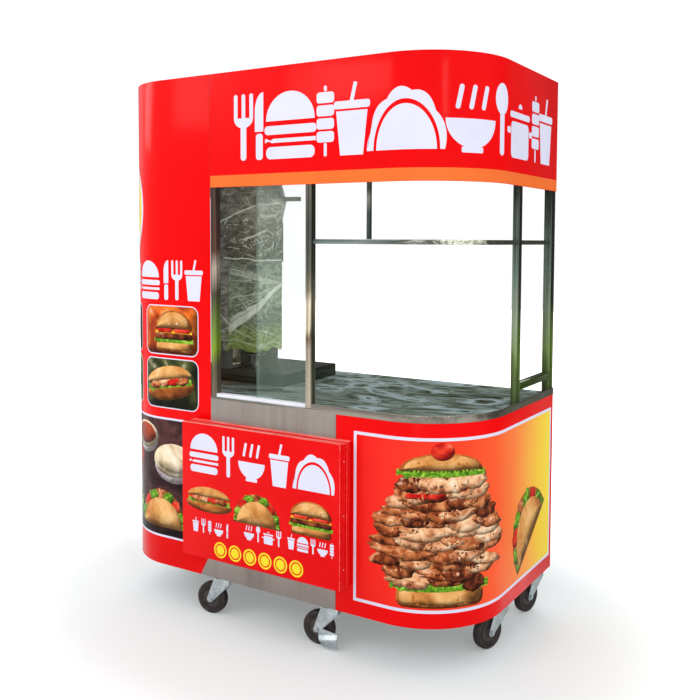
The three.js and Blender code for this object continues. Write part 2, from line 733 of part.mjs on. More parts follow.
// A sheet box, open at the back for the drip tray, with drain slots beside the spit
// and a guard wall that runs on behind the rear mast
function grillBase(x0, y0, z0) {
  const x1 = x0 + GRILL_LENGTH;
  const y1 = y0 + GRILL_DEPTH;
  const z1 = z0 + GRILL_BASE_HEIGHT;
  const shell = block(x0, x1, y0, y1, z0, z1);
  const guardX = x0 + GUARD_INSET;
  const guardY = y0 + MAST_SPREAD + GAP;
  const guard = block(guardX, guardX + GRILL_WALL, guardY, y1, z1 - GRILL_WALL, z1 + GUARD_RISE);
  const hollow = block(
    x0 + GRILL_WALL,
    x1 - GRILL_WALL,
    y0 + GRILL_WALL,
    y1 + OVERRUN,
    z0 + GRILL_WALL,
    z1 - GRILL_WALL,
  );
  const spitX = x0 + MAST_INSET + MAST_LENGTH + SPIT_FROM_MAST;
  const drains = [-1, 1].map((side) => {
    const middle = spitX + (side * DRAIN_SPACING) / 2;
    const end = y0 + MAST_SPREAD / 2 + DRAIN_LENGTH / 2;
    return block(
      middle - DRAIN_WIDTH / 2,
      middle + DRAIN_WIDTH / 2,
      end - DRAIN_LENGTH,
      end,
      z1 - GRILL_WALL - GRILL_WALL,
      z1 + GUARD_RISE,
    );
  });
  piece('grill_base', cut(join(shell, guard), hollow, ...drains), 'steel');
  const inside = GRILL_WALL + GAP;
  dripTray(x0 + inside, x1 - inside, y0 + inside, y1, z0 + inside, z1 - GRILL_WALL - TRAY_CLEARANCE);
}

function dripTray(x0, x1, y0, y1, z0, z1) {
  const body = block(x0, x1, y0, y1, z0, z1);
  const hollow = block(
    x0 + TRAY_WALL,
    x1 - TRAY_WALL,
    y0 + TRAY_WALL,
    y1 - TRAY_WALL,
    z0 + TRAY_WALL,
    z1 + OVERRUN,
  );
  const middle = (x0 + x1) / 2;
  const reach = TRAY_PULL_WIDTH / 2;
  const pull = block(middle - reach, middle + reach, y1 - TRAY_WALL, y1 + TRAY_PULL, z1 - TRAY_WALL, z1);
  piece('drip_tray', join(cut(body, hollow), pull), 'steel');
}

// Two masts carry the housing, with the burner between them near the top
function grillMasts(x0, y0, z0) {
  const x1 = x0 + MAST_LENGTH;
  const frontY = y0 + MAST_DEPTH;
  const rearY = y0 + MAST_SPREAD - MAST_DEPTH;
  piece('grill_mast_front', tube('z', x0, x1, y0, frontY, z0, MAST_TOP), 'steel');
  piece('grill_mast_rear', tube('z', x0, x1, rearY, y0 + MAST_SPREAD, z0, MAST_TOP), 'steel');
  piece('grill_burner', burner(x1 - BURNER_DEPTH, x1, frontY + GAP, rearY - GAP, MAST_TOP), 'ceramic');
}

// Rows of upright bars stand in recesses in front of the hot plate
function burner(x0, x1, y0, y1, z1) {
  const z0 = z1 - BURNER_ROWS * BURNER_HEIGHT;
  const span = y1 - y0 - 2 * BURNER_BORDER;
  const pitch = (span + BURNER_RIB) / (BURNER_RIBS + 1);
  const pockets = [];
  for (let row = 0; row < BURNER_ROWS; row++) {
    const low = z0 + row * BURNER_HEIGHT + BURNER_BORDER;
    const high = z0 + (row + 1) * BURNER_HEIGHT - BURNER_BORDER;
    for (let bay = 0; bay <= BURNER_RIBS; bay++) {
      const start = y0 + BURNER_BORDER + pitch * bay;
      pockets.push(block(x1 - BURNER_RECESS, x1 + OVERRUN, start, start + pitch - BURNER_RIB, low, high));
    }
  }
  return cut(block(x0, x1, y0, y1, z0, z1), ...pockets);
}

// A sheet box over the masts, with a slot in its front and the spit's bore in its floor
function grillHousing(x0, y0, z0) {
  const x1 = x0 + HOUSING_LENGTH;
  const y1 = y0 + MAST_SPREAD;
  const z1 = z0 + HOUSING_HEIGHT;
  const middle = (x0 + x1) / 2;
  const hollow = block(
    x0 + GRILL_WALL,
    x1 - GRILL_WALL,
    y0 + GRILL_WALL,
    y1 - GRILL_WALL,
    z0 + GRILL_WALL,
    z1 - GRILL_WALL,
  );
  const slotX = x0 + HOUSING_LENGTH * HOUSING_SLOT_SHARE;
  const slotZ = z1 - GRILL_WALL - HOUSING_SLOT_HEIGHT - BURNER_BORDER;
  const slot = block(
    slotX,
    slotX + HOUSING_SLOT_LENGTH,
    y0 - OVERRUN,
    y0 + 2 * GRILL_WALL,
    slotZ,
    slotZ + HOUSING_SLOT_HEIGHT,
  );
  const boreX = x0 + MAST_LENGTH + SPIT_FROM_MAST;
  const bore = rod(SPIT_RADIUS + GAP, 2 * OVERRUN, 12).translate(boreX, y0 + MAST_SPREAD / 2, z0);
  piece('grill_housing', cut(block(x0, x1, y0, y1, z0, z1), hollow, slot, bore), 'steel');
  const armY = y0 + (MAST_SPREAD - ARM_DEPTH) / 2;
  const armZ = z0 + ARM_RISE;
  const arm = tube('x', x1 + GAP, x1 + GAP + ARM_LENGTH, armY, armY + ARM_DEPTH, armZ, armZ + ARM_HEIGHT);
  piece('grill_arm', arm, 'steel');
  for (const [name, side] of [['grill_knob_left', -1], ['grill_knob_right', 1]]) {
    piece(name, knob().translate(middle + (side * KNOB_SPACING) / 2, y1 + GAP, (z0 + z1) / 2), 'black');
  }
}

// A folded skirt under the housing, open below and towards the burner
function grillHood(x0, y0) {
  const x1 = x0 + HOOD_LENGTH;
  const z0 = MAST_TOP - HOOD_HEIGHT;
  const hollow = block(
    x0 - OVERRUN,
    x1 - GRILL_WALL,
    y0 + GRILL_WALL,
    y0 + MAST_SPREAD - GRILL_WALL,
    z0 - OVERRUN,
    MAST_TOP + OVERRUN,
  );
  piece('grill_hood', cut(block(x0, x1, y0, y0 + MAST_SPREAD, z0, MAST_TOP), hollow), 'steel');
}

// A round knob with a raised grip, standing out along +Y from y = 0
function knob() {
  const collar = KNOB_SPINDLE + KNOB_DEPTH / 4;
  const stem = rodAlongY(KNOB_RADIUS / 2, collar, 12).translate(0, collar / 2, 0);
  const body = rodAlongY(KNOB_RADIUS, KNOB_DEPTH / 2, 20).translate(0, collar, 0);
  const grip = block(
    -KNOB_GRIP / 2,
    KNOB_GRIP / 2,
    collar,
    KNOB_SPINDLE + KNOB_DEPTH,
    -KNOB_RADIUS,
    KNOB_RADIUS,
  );
  return join(stem, body, grip);
}

// The spit turns on its foot on the base and in the housing's bore
function grillSpit(x, y, z0) {
  const top = MAST_TOP + GAP + GRILL_WALL;
  const shaft = rod(SPIT_RADIUS, top - z0, 12).translate(0, 0, (top + z0) / 2);
  const disc = rod(SPIT_DISC_RADIUS, SPIT_DISC_THICKNESS, 24).translate(0, 0, z0 + SPIT_DISC_RISE);
  const hub = rod(SPIT_HUB_RADIUS, SPIT_HUB_HEIGHT, 16).translate(0, 0, z0 + SPIT_HUB_HEIGHT / 2);
  piece('spit', join(shaft, disc, hub).translate(x, y, 0), 'steel');
}

// Casters

// Turns are where the wheel trails, in degrees about its swivel pin
const FRONT_CASTER_Y = FRONT + FRONT_CASTER_INSET;
const RIGHT_CASTER_X = RIGHT - RIGHT_CASTER_INSET;
const REAR_CASTER_Y = REAR - RIGHT_CASTER_FROM_REAR;
const MIDDLE_CASTER_X = SKIRT_EDGE - MIDDLE_CASTER_FROM_SKIRT;
const CASTERS = [
  { name: 'front_left', x: COLUMN_EDGE + FRONT_CASTER_FROM_COLUMN, y: FRONT_CASTER_Y, turn: 190 },
  { name: 'front_middle', x: MIDDLE_CASTER_X, y: FRONT_CASTER_Y, turn: 185, brake: true },
  { name: 'right_front', x: RIGHT_CASTER_X, y: REAR_CASTER_Y - RIGHT_CASTER_SPACING, turn: 250 },
  { name: 'right_rear', x: RIGHT_CASTER_X, y: REAR_CASTER_Y, turn: 256 },
  { name: 'rear_left', x: LEFT + REAR_CASTER_FROM_LEFT, y: REAR_CASTER_Y, turn: 250 },
];

// A flat of the faceted tyre lies on the floor
const AXLE_HEIGHT = WHEEL_RADIUS * Math.cos(Math.PI / WHEEL_STEPS);
const LEG_GAP = HUB_WIDTH / 2 + FORK_CLEARANCE;

function casters() {
  for (const caster of CASTERS) {
    const group = new THREE.Group();
    group.position.set(caster.x, caster.y, 0);
    cart.add(group);
    piece(`caster_plate_${caster.name}`, casterPlate(), 'zinc', group);
    const swivel = new THREE.Group();
    swivel.rotation.z = THREE.MathUtils.degToRad(caster.turn);
    group.add(swivel);
    piece(`caster_fork_${caster.name}`, casterFork(caster.brake), 'zinc', swivel);
    const wheel = piece(`caster_wheel_${caster.name}`, casterWheel(), 'rubber', swivel);
    wheel.position.set(TRAIL, 0, AXLE_HEIGHT);
    if (caster.brake) {
      piece(`brake_pedal_${caster.name}`, brakePedal(), 'zinc', swivel);
    }
  }
}

// Top plate with four bolts, and the fixed half of the bearing race under it
function casterPlate() {
  const top = CASTER_HEIGHT - GAP;
  const bottom = top - PLATE_THICKNESS;
  const half = [PLATE_LENGTH / 2, PLATE_WIDTH / 2];
  const plate = raise(roundedRectangle(-half[0], half[0], -half[1], half[1], PLATE_RADIUS), bottom, top);
  const race = new THREE.LatheGeometry([
    new THREE.Vector2(0, -RACE_HEIGHT),
    new THREE.Vector2(RACE_RADIUS - RACE_TAPER, -RACE_HEIGHT),
    new THREE.Vector2(RACE_RADIUS, -RACE_HEIGHT / 2),
    new THREE.Vector2(RACE_RADIUS, PLATE_THICKNESS / 2),
    new THREE.Vector2(0, PLATE_THICKNESS / 2),
  ], 20).rotateX(Math.PI / 2).translate(0, 0, bottom);
  const bolts = [];
  for (const side of [-1, 1]) {
    for (const end of [-1, 1]) {
      const x = end * (half[0] - BOLT_INSET);
      const y = side * (half[1] - BOLT_INSET);
      const height = BOLT_HEAD + PLATE_THICKNESS / 2;
      bolts.push(rod(BOLT_RADIUS, height, 6).translate(x, y, bottom - BOLT_HEAD + height / 2));
    }
  }
  return join(plate, race, ...bolts);
}

// Crown, two raked legs and the axle bolt with its head and nut. A brake has room under the bolt's head
function casterFork(brake) {
  const crownTop = CASTER_HEIGHT - GAP - PLATE_THICKNESS - RACE_HEIGHT - GAP;
  const crownBottom = crownTop - CROWN_HEIGHT;
  const crown = rod(CROWN_RADIUS, CROWN_HEIGHT, 20).translate(0, 0, (crownTop + crownBottom) / 2);
  const legs = [-1, 1].map((side) => {
    const inner = side * LEG_GAP;
    const outer = side * (LEG_GAP + FORK_SHEET);
    return acrossY(legShape(crownTop), Math.min(inner, outer), Math.max(inner, outer));
  });
  const saddle = block(
    LEG_TOP_OFFSET - LEG_TOP_LENGTH / 2,
    LEG_TOP_OFFSET + LEG_TOP_LENGTH / 2,
    -LEG_GAP - FORK_SHEET,
    LEG_GAP + FORK_SHEET,
    crownTop - FORK_SHEET,
    crownTop,
  );
  const legFace = LEG_GAP + FORK_SHEET;
  const headFace = legFace + (brake ? PEDAL_SHEET + 2 * GAP : 0);
  const length = legFace + headFace + NUT_HEIGHT;
  const axle = rodAlongY(AXLE_RADIUS, length, 12).translate(TRAIL, (headFace - legFace) / 2, AXLE_HEIGHT);
  const nuts = [-legFace - NUT_HEIGHT / 2, headFace + NUT_HEIGHT / 2].map((y) => {
    return rodAlongY(NUT_RADIUS, NUT_HEIGHT, 6).translate(TRAIL, y, AXLE_HEIGHT);
  });
  return join(crown, saddle, ...legs, axle, ...nuts);
}

// Outline of a leg from the crown down to the round end at the axle
function legShape(top) {
  const x0 = LEG_TOP_OFFSET - LEG_TOP_LENGTH / 2;
  const x1 = LEG_TOP_OFFSET + LEG_TOP_LENGTH / 2;
  const shape = new THREE.Shape();
  shape.moveTo(x1, top);
  shape.lineTo(x0, top);
  shape.lineTo(x0, top - LEG_SHOULDER);
  shape.absarc(TRAIL, AXLE_HEIGHT, LEG_END_RADIUS, 1.2 * Math.PI, 1.95 * Math.PI, false);
  shape.lineTo(TRAIL + LEG_END_RADIUS, AXLE_HEIGHT);
  return shape;
}

// Rubber tyre on a moulded hub, turned about its own axle
function casterWheel() {
  const half = WHEEL_WIDTH / 2;
  const profile = [
    [WHEEL_BORE, HUB_WIDTH / 2],
    [HUB_RADIUS, HUB_WIDTH / 2],
    [HUB_RADIUS + SHOULDER / 2, WEB_WIDTH / 2],
    [RIM_RADIUS, WEB_WIDTH / 2],
    [GROOVE_RADIUS, half - SHOULDER / 5],
    [TYRE_RADIUS, half - SHOULDER / 2],
    [WHEEL_RADIUS - SHOULDER, half],
    [WHEEL_RADIUS, half - SHOULDER],
  ];
  const mirror = profile.map(([radius, y]) => [radius, -y]).reverse();
  const points = [...mirror.reverse(), ...profile.reverse()];
  const loop = [...points, points[0]].map(([radius, y]) => new THREE.Vector2(radius, y));
  return new THREE.LatheGeometry(loop, WHEEL_STEPS, Math.PI / WHEEL_STEPS);
}

// Brake pedal on the axle bolt, outside one leg: a cheek that bends outwards to a step,
// and a lip below the step that almost reaches the floor
function brakePedal() {
  const inner = LEG_GAP + FORK_SHEET + GAP;
  const cheek = acrossY(pedalCheek(), inner, inner + PEDAL_SHEET);
  const hole = rodAlongY(AXLE_RADIUS + GAP, 2 * (inner + PEDAL_SHEET + OVERRUN), 12);
  const tread = pedalTread(inner);
  return cut(join(cheek, tread), hole).translate(TRAIL, 0, AXLE_HEIGHT);
}

// The cheek runs from its round end at the axle to the sloping line where the step bends out
function pedalCheek() {
  const shape = new THREE.Shape();
  shape.moveTo(-PEDAL_REACH, -PEDAL_TIP_FALL - PEDAL_SHEET);
  shape.lineTo(-PEDAL_END_RADIUS, -PEDAL_ROOT_FALL - PEDAL_SHEET);
  shape.absarc(0, 0, PEDAL_END_RADIUS, 1.2 * Math.PI, 2.5 * Math.PI, false);
  shape.lineTo(-PEDAL_REACH, -PEDAL_TIP_FALL);
  return shape;
}

// Step and lip as one bent sheet, trimmed by the shape of the pedal seen from the side
function pedalTread(inner) {
  const sheet = PEDAL_SHEET;
  const step = inner + PEDAL_STEP_OUT;
  const drop = PEDAL_STEP_FALL;
  const profile = new THREE.Shape([
    [inner, 0],
    [inner + sheet, 0],
    [step + sheet, -drop],
    [step + sheet, -2 * PEDAL_LIP_FALL],
    [step, -2 * PEDAL_LIP_FALL],
    [step, -drop],
    [inner, -sheet],
  ].map(([y, z]) => new THREE.Vector2(y, z)));
  const run = PEDAL_REACH - PEDAL_END_RADIUS;
  const slope = Math.atan2(PEDAL_ROOT_FALL - PEDAL_TIP_FALL, run);
  const length = 2 * PEDAL_REACH;
  const bent = acrossX(profile, -length / 2, length / 2);
  bent.rotateY(slope).translate(-PEDAL_REACH, 0, -PEDAL_TIP_FALL);
  const side = new THREE.Shape();
  side.moveTo(-PEDAL_REACH, 0);
  side.lineTo(-PEDAL_REACH, -PEDAL_LIP_FALL);
  side.lineTo(-PEDAL_LIP_START, -PEDAL_LIP_FALL);
  side.lineTo(0, -PEDAL_END_RADIUS);
  side.lineTo(-PEDAL_END_RADIUS, 0);
  return intersect(bent, acrossY(side, inner, step + sheet));
}

chassis();
lowerBody();
counter();
posts();
rails();
canopy();
hatch();
lightBox();
grill();
casters();

export default cart;
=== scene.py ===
"""Street food cart: the finish of every surface, built round the packed model.

Run as a script it loads the model, builds the visual pieces and the stage, and leaves the scene ready
to render.
"""

import json
import math
import random

import bmesh
import bpy
from bpy.props import FloatProperty, FloatVectorProperty, IntProperty, PointerProperty
from mathutils import Matrix, Vector, noise

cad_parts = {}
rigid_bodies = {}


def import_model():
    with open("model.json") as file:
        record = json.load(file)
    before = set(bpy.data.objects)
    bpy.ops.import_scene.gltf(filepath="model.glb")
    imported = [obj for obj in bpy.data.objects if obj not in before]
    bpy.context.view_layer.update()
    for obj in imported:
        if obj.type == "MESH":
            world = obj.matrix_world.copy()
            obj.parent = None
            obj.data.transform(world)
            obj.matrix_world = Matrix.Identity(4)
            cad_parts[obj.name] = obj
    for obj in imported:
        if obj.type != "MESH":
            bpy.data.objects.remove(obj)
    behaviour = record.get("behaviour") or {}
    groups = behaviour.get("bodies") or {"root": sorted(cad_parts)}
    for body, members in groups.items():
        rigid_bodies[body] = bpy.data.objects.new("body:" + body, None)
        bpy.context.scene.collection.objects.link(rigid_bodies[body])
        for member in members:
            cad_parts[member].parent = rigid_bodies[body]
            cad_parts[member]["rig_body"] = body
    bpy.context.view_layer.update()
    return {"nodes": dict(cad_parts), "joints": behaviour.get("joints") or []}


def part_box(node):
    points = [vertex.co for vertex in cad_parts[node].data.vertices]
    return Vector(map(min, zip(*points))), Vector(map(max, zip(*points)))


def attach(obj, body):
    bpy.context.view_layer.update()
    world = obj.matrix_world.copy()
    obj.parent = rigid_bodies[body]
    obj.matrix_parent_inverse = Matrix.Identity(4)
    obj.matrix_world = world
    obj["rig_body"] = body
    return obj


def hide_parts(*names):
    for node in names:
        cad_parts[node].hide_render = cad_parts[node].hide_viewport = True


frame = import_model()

bl_info = {
    "name": "Street Food Cart",
    "version": (1, 0, 0),
    "blender": (4, 5, 0),
    "location": "View3D > Sidebar > Food Cart",
    "description": "Builds the finish of a street food cart round its packed model",
    "category": "Add Mesh",
}

# The cart's outline in plan, from the packed model
LEFT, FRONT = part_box("left_skin")[0].xy
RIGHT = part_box("right_skirt")[1].x
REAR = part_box("left_skin")[1].y
LEFT_RADIUS = 0.265
RIGHT_RADIUS = 0.290
LEFT_ARC = REAR - FRONT - LEFT_RADIUS
FRONT_RUN = LEFT_ARC + math.pi / 2 * LEFT_RADIUS
RIGHT_ARC = FRONT_RUN + RIGHT - LEFT - LEFT_RADIUS - RIGHT_RADIUS
RIGHT_RUN = RIGHT_ARC + math.pi / 2 * RIGHT_RADIUS
RIGHT_END = RIGHT_RUN + REAR - FRONT - RIGHT_RADIUS
ARC_STEP = math.radians(3)

# Mesh work
MERGE = 0.00001
FLAT_ANGLE = math.radians(0.6)
SMOOTH_ANGLE = math.radians(32)
BEVEL_ANGLE = math.radians(28)
UP = Vector((0, 0, 1))


def shade(red, green, blue):
    """A screen colour from 0 to 255 as Blender's linear colour."""
    def linear(value):
        share = value / 255
        return share / 12.92 if share <= 0.04045 else ((share + 0.055) / 1.055) ** 2.4
    return (linear(red), linear(green), linear(blue), 1.0)


# Settings that a user would change


def length(name, text, default):
    return FloatProperty(name=name, description=text, default=default, unit="LENGTH")


def angle(name, text, degrees):
    return FloatProperty(name=name, description=text, default=math.radians(degrees), unit="ROTATION")


def number(name, text, default):
    return FloatProperty(name=name, description=text, default=default)


def colour(name, text, *screen):
    return FloatVectorProperty(name=name, description=text, default=shade(*screen), subtype="COLOR", size=4)


class CartSizes(bpy.types.PropertyGroup):
    """Sizes of the finish."""

    edge: length("Edge Rounding", "Radius of folded sheet and tube edges", 0.0009)
    vinyl_inset: length("Vinyl Inset", "Room for prints between the vinyl and the outline", 0.0010)
    layer: length("Print Layer", "Height of one printed layer over the next", 0.00016)
    sheet: length("Skin Thickness", "Thickness of the curved skins", 0.0019)
    film_cell: length("Film Cell", "Size of one face of the wrinkled film", 0.0026)
    film_depth: length("Film Wrinkle Depth", "Height of the film's largest creases", 0.006)
    wheel_steps: IntProperty(
        name="Wheel Steps", description="Faces round a wheel", default=72, min=24, max=160,
    )


class CartColours(bpy.types.PropertyGroup):
    """Colours of the finish."""

    vinyl: colour("Vinyl", "Red vinyl of the skins", 243, 5, 9)
    lettering: colour("White Print", "White cut vinyl", 226, 227, 248)
    stripe: colour("Stripe", "Orange stripe under the canopy", 248, 118, 52)
    accent: colour("Accent", "Yellow print", 248, 226, 50)
    steel: colour("Steel", "Brushed sheet in even light", 166, 157, 150)
    # A painted reflection: the tone that the tubes take where they mirror their dark surroundings
    steel_dark: colour("Dark Steel", "Steel tube where it mirrors its dark surroundings", 86, 90, 82)
    glass: colour("Glass", "Green tint of the float glass", 196, 226, 208)


class CartStage(bpy.types.PropertyGroup):
    """The camera and the light."""

    place: FloatVectorProperty(
        name="Camera Place", description="Where the camera stands", subtype="XYZ", unit="LENGTH", size=3,
        default=(1.867, -2.7587, 1.406),
    )
    azimuth: angle("Azimuth", "Turn of the camera about the vertical", 31.06)
    pitch: angle("Pitch", "How far the camera looks down", 3.20)
    roll: angle("Roll", "Turn of the camera about its axis", 0.308)
    lens: number("Lens", "Focal length in millimetres", 44.48)
    shift_x: number("Shift X", "Sideways shift of the frame", -0.0303)
    shift_y: number("Shift Y", "Upwards shift of the frame", -0.0873)
    ambient: number("Ambient", "Strength of the even light", 0.97)


def sizes():
    return bpy.context.scene.cart_sizes


def colours():
    return bpy.context.scene.cart_colours


# Shader maths


class Wire:
    """A node's output socket that takes part in Python arithmetic."""

    def __init__(self, nodes, socket):
        self.nodes = nodes
        self.socket = socket

    def maths(self, operation, *values):
        return self.nodes.node("ShaderNodeMath", {"operation": operation}, dict(enumerate(values)))

    def __add__(self, other):
        return self.maths("ADD", self, other)

    def __sub__(self, other):
        return self.maths("SUBTRACT", self, other)

    def __rsub__(self, other):
        return self.maths("SUBTRACT", other, self)

    def __mul__(self, other):
        return self.maths("MULTIPLY", self, other)

    def __truediv__(self, other):
        return self.maths("DIVIDE", self, other)

    def __pow__(self, other):
        return self.maths("POWER", self, other)

    __radd__ = __add__
    __rmul__ = __mul__

    def smooth_step(self, low, high):
        settings = {"interpolation_type": "SMOOTHSTEP"}
        sockets = {"Value": self, "From Min": low, "From Max": high, "To Min": 0.0, "To Max": 1.0}
        return self.nodes.node("ShaderNodeMapRange", settings, sockets)


class Nodes:
    """A node tree and the one method that adds to it."""

    def __init__(self, tree):
        self.tree = tree

    def plug(self, socket, value):
        if isinstance(value, Wire):
            self.tree.links.new(value.socket, socket)
        else:
            socket.default_value = value

    def node(self, kind, settings=None, sockets=None, output=0):
        made = self.tree.nodes.new(kind)
        for key, value in (settings or {}).items():
            if key == "stops":
                set_stops(made.color_ramp, value)
            else:
                setattr(made, key, value)
        for key, value in (sockets or {}).items():
            self.plug(made.inputs[key], value)
        return Wire(self, made.outputs[output])

    def axis(self, place, name):
        return self.node("ShaderNodeSeparateXYZ", {}, {"Vector": place}, name)

    def ray(self, kind):
        return self.node("ShaderNodeLightPath", output="Is " + kind + " Ray")

    def stretched(self, place, scale):
        return self.node("ShaderNodeMapping", {}, {"Vector": place, "Scale": scale})

    def grain(self, place, scale, detail=3.0, distortion=0.0, roughness=0.55, stretch=None):
        if stretch:
            place = self.stretched(place, stretch)
        sockets = {
            "Vector": place, "Scale": scale, "Detail": detail,
            "Distortion": distortion, "Roughness": roughness,
        }
        return self.node("ShaderNodeTexNoise", {}, sockets)

    def cells(self, place, scale):
        return self.node("ShaderNodeTexVoronoi", {}, {"Vector": place, "Scale": scale})

    def ramp(self, factor, *stops):
        return self.node("ShaderNodeValToRGB", {"stops": stops}, {"Fac": factor})

    def mix(self, factor, first, second, blend="MIX"):
        settings = {"data_type": "RGBA", "blend_type": blend}
        return self.node("ShaderNodeMix", settings, {0: factor, 6: first, 7: second}, output=2)


class Finish(Nodes):
    """A material under construction."""

    def __init__(self, name, gloss, constants=None):
        self.material = bpy.data.materials.new(name)
        self.material.use_nodes = True
        super().__init__(self.material.node_tree)
        self.shader = self.tree.nodes["Principled BSDF"]
        self.feed({"Specular IOR Level": gloss, **(constants or {})})

    def feed(self, values):
        for socket, value in values.items():
            self.plug(self.shader.inputs[socket], value)

    def place(self):
        return self.node("ShaderNodeTexCoord", output="Object")

    def print_place(self):
        return self.node("ShaderNodeUVMap", {"uv_map": PRINT_MAP})

    def print_sheen(self, place):
        self.feed({"Roughness": self.grain(place, 12.0) * 0.12 + 0.14})

    def bump(self, height, distance, strength=1.0):
        sockets = {"Height": height, "Distance": distance, "Strength": strength}
        self.feed({"Normal": self.node("ShaderNodeBump", {}, sockets)})


def set_stops(ramp, stops):
    """Stops are a position and a colour, or a position and three screen values."""
    for index, (position, *tone) in enumerate(stops):
        if index < 2:
            ramp.elements[index].position = position
        else:
            ramp.elements.new(position)
        ramp.elements[index].color = tone[0] if len(tone) == 1 else shade(*tone)


# Finishes

PRINT_MAP = "Print"
CREASE = "Crease"
SLOPE = "Slope"
PRINT_GLOSS = 0.08
PICTURE_LIGHT = (-0.42, 0.56, 0.71)
PANEL_WAVES = (2.6, 2.6, 0.5)
BLACK = (0.0, 0.0, 0.0, 1.0)
WHITE = (1.0, 1.0, 1.0, 1.0)


def grained(along, run, across):
    """The stretch of a grain that runs along one axis."""
    return tuple(run if axis == along else across for axis in "XYZ")


def red_vinyl(name):
    """Glossy vinyl over a panel that isn't perfectly flat."""
    made = Finish(name, PRINT_GLOSS)
    place = made.place()
    red = colours().vinyl
    deep = (red[0] * 0.90, red[1] * 0.75, red[2] * 0.75, 1.0)
    made.feed({
        "Base Color": made.mix(made.grain(place, 2.3, 2.0).smooth_step(0.3, 0.7), deep, red),
        "Roughness": made.grain(place, 9.0, 3.0) * 0.10 + 0.11,
    })
    waves = made.grain(place, 1.6, 1.5, stretch=PANEL_WAVES)
    made.bump(waves + made.grain(place, 420.0, 1.0) * 0.004, 0.010)
    return made


def cut_print(name, tone):
    """A single colour of cut vinyl, with faint handling marks."""
    made = Finish(name, PRINT_GLOSS)
    place = made.place()
    worn = (tone[0] * 0.94, tone[1] * 0.94, tone[2] * 0.94, 1.0)
    made.feed({"Base Color": made.mix(made.grain(place, 6.0, 4.0).smooth_step(0.35, 0.7), worn, tone)})
    made.print_sheen(place)
    made.bump(made.grain(place, 1.6, 1.5, stretch=PANEL_WAVES), 0.010)
    return made


def panel_gradient(name):
    """The warm glow behind the food on the right skirt: red at the left, yellow at the right."""
    made = Finish(name, PRINT_GLOSS)
    place = made.print_place()
    across = (made.axis(place, "X") - PANEL_LEFT) / (PANEL_RIGHT - PANEL_LEFT)
    height = made.axis(place, "Y") - PANEL_MIDDLE
    drift = made.grain(place, 3.0, 2.0) * 0.10 - 0.05
    glow = made.ramp(
        across + drift - height * height * 0.25,
        (0.0, 238, 24, 22), (0.12, 246, 46, 34), (0.34, 250, 66, 38), (0.50, 254, 96, 50),
        (0.62, 255, 128, 62), (0.76, 254, 172, 74), (0.88, 252, 206, 66), (1.0, 250, 228, 76),
    )
    made.feed({"Base Color": glow})
    made.print_sheen(place)
    return made


def printed_food(name, scale, distortion, detail, cells, *stops):
    """A photographic print of food: broken tones, shaded as round bodies lit from the upper left."""
    made = Finish(name, PRINT_GLOSS)
    place = made.print_place()
    tone = made.grain(place, scale, detail, distortion, 0.62)
    if cells:
        tone = tone * 0.72 + made.cells(place, scale * cells) * 0.30
    slope = made.node("ShaderNodeAttribute", {"attribute_name": SLOPE}, output="Vector")
    facing = {0: slope, 1: PICTURE_LIGHT}
    lit = made.node("ShaderNodeVectorMath", {"operation": "DOT_PRODUCT"}, facing, "Value")
    broken = lit + (tone - 0.5) * 0.8
    shadow = broken.smooth_step(-0.10, 0.85) * 0.85 + 0.20
    body = made.mix(1.0, made.ramp(tone, *stops), shadow, "MULTIPLY")
    glint = broken.smooth_step(0.96, 1.18) * 0.5
    made.feed({"Base Color": made.mix(glint, body, shade(255, 240, 214))})
    made.print_sheen(place)
    return made


def brushed_steel(name, along, cloud_scale, gloss, streaks, metal, dark, middle, light):
    """Stainless sheet or tube with a grain that runs one way and soft, drawn-out reflections."""
    made = Finish(name, 0.3, {"Metallic": metal})
    place = made.place()
    hair = made.grain(place, 1.0, stretch=grained(along, 2.0, 240.0))
    streak = made.grain(place, 1.6, stretch=grained(along, 0.7, 22.0))
    # The streaks paint soft reflections into the tone
    tone = hair * 0.22 + streak * streaks + made.grain(place, cloud_scale, 3.0, 0.5) * (0.86 - streaks)
    low, high = gloss
    made.feed({
        "Base Color": made.ramp(tone, (0.40, *dark), (0.53, *middle), (0.70, *light)),
        "Roughness": hair * (high - low) + low,
    })
    made.bump(hair, 0.00025, 0.5)
    return made


def mirror_steel(name, along, low, high, *stops):
    """Bright square tube that mirrors its surroundings in bands along its run."""
    made = Finish(name, 0.15, {"Metallic": 0.5})
    place = made.place()
    streak = made.grain(place, 1.0, 3.0, 0.3, stretch=grained(along, 1.2, 150.0))
    broad = made.grain(place, 1.0, 2.0, stretch=grained(along, 0.3, 37.5))
    wander = (streak - 0.5) * 0.08 + (broad - 0.5) * 0.08
    # Painted reflections: bands along the run, broken by streaks
    bands = made.ramp((made.axis(place, along) - low) / (high - low) + wander, *stops)
    line = streak.smooth_step(0.38, 0.58) * 0.62 + 0.52
    made.feed({"Base Color": made.mix(1.0, bands, line, "MULTIPLY"), "Roughness": streak * 0.16 + 0.10})
    made.bump(streak, 0.0003, 0.4)
    return made


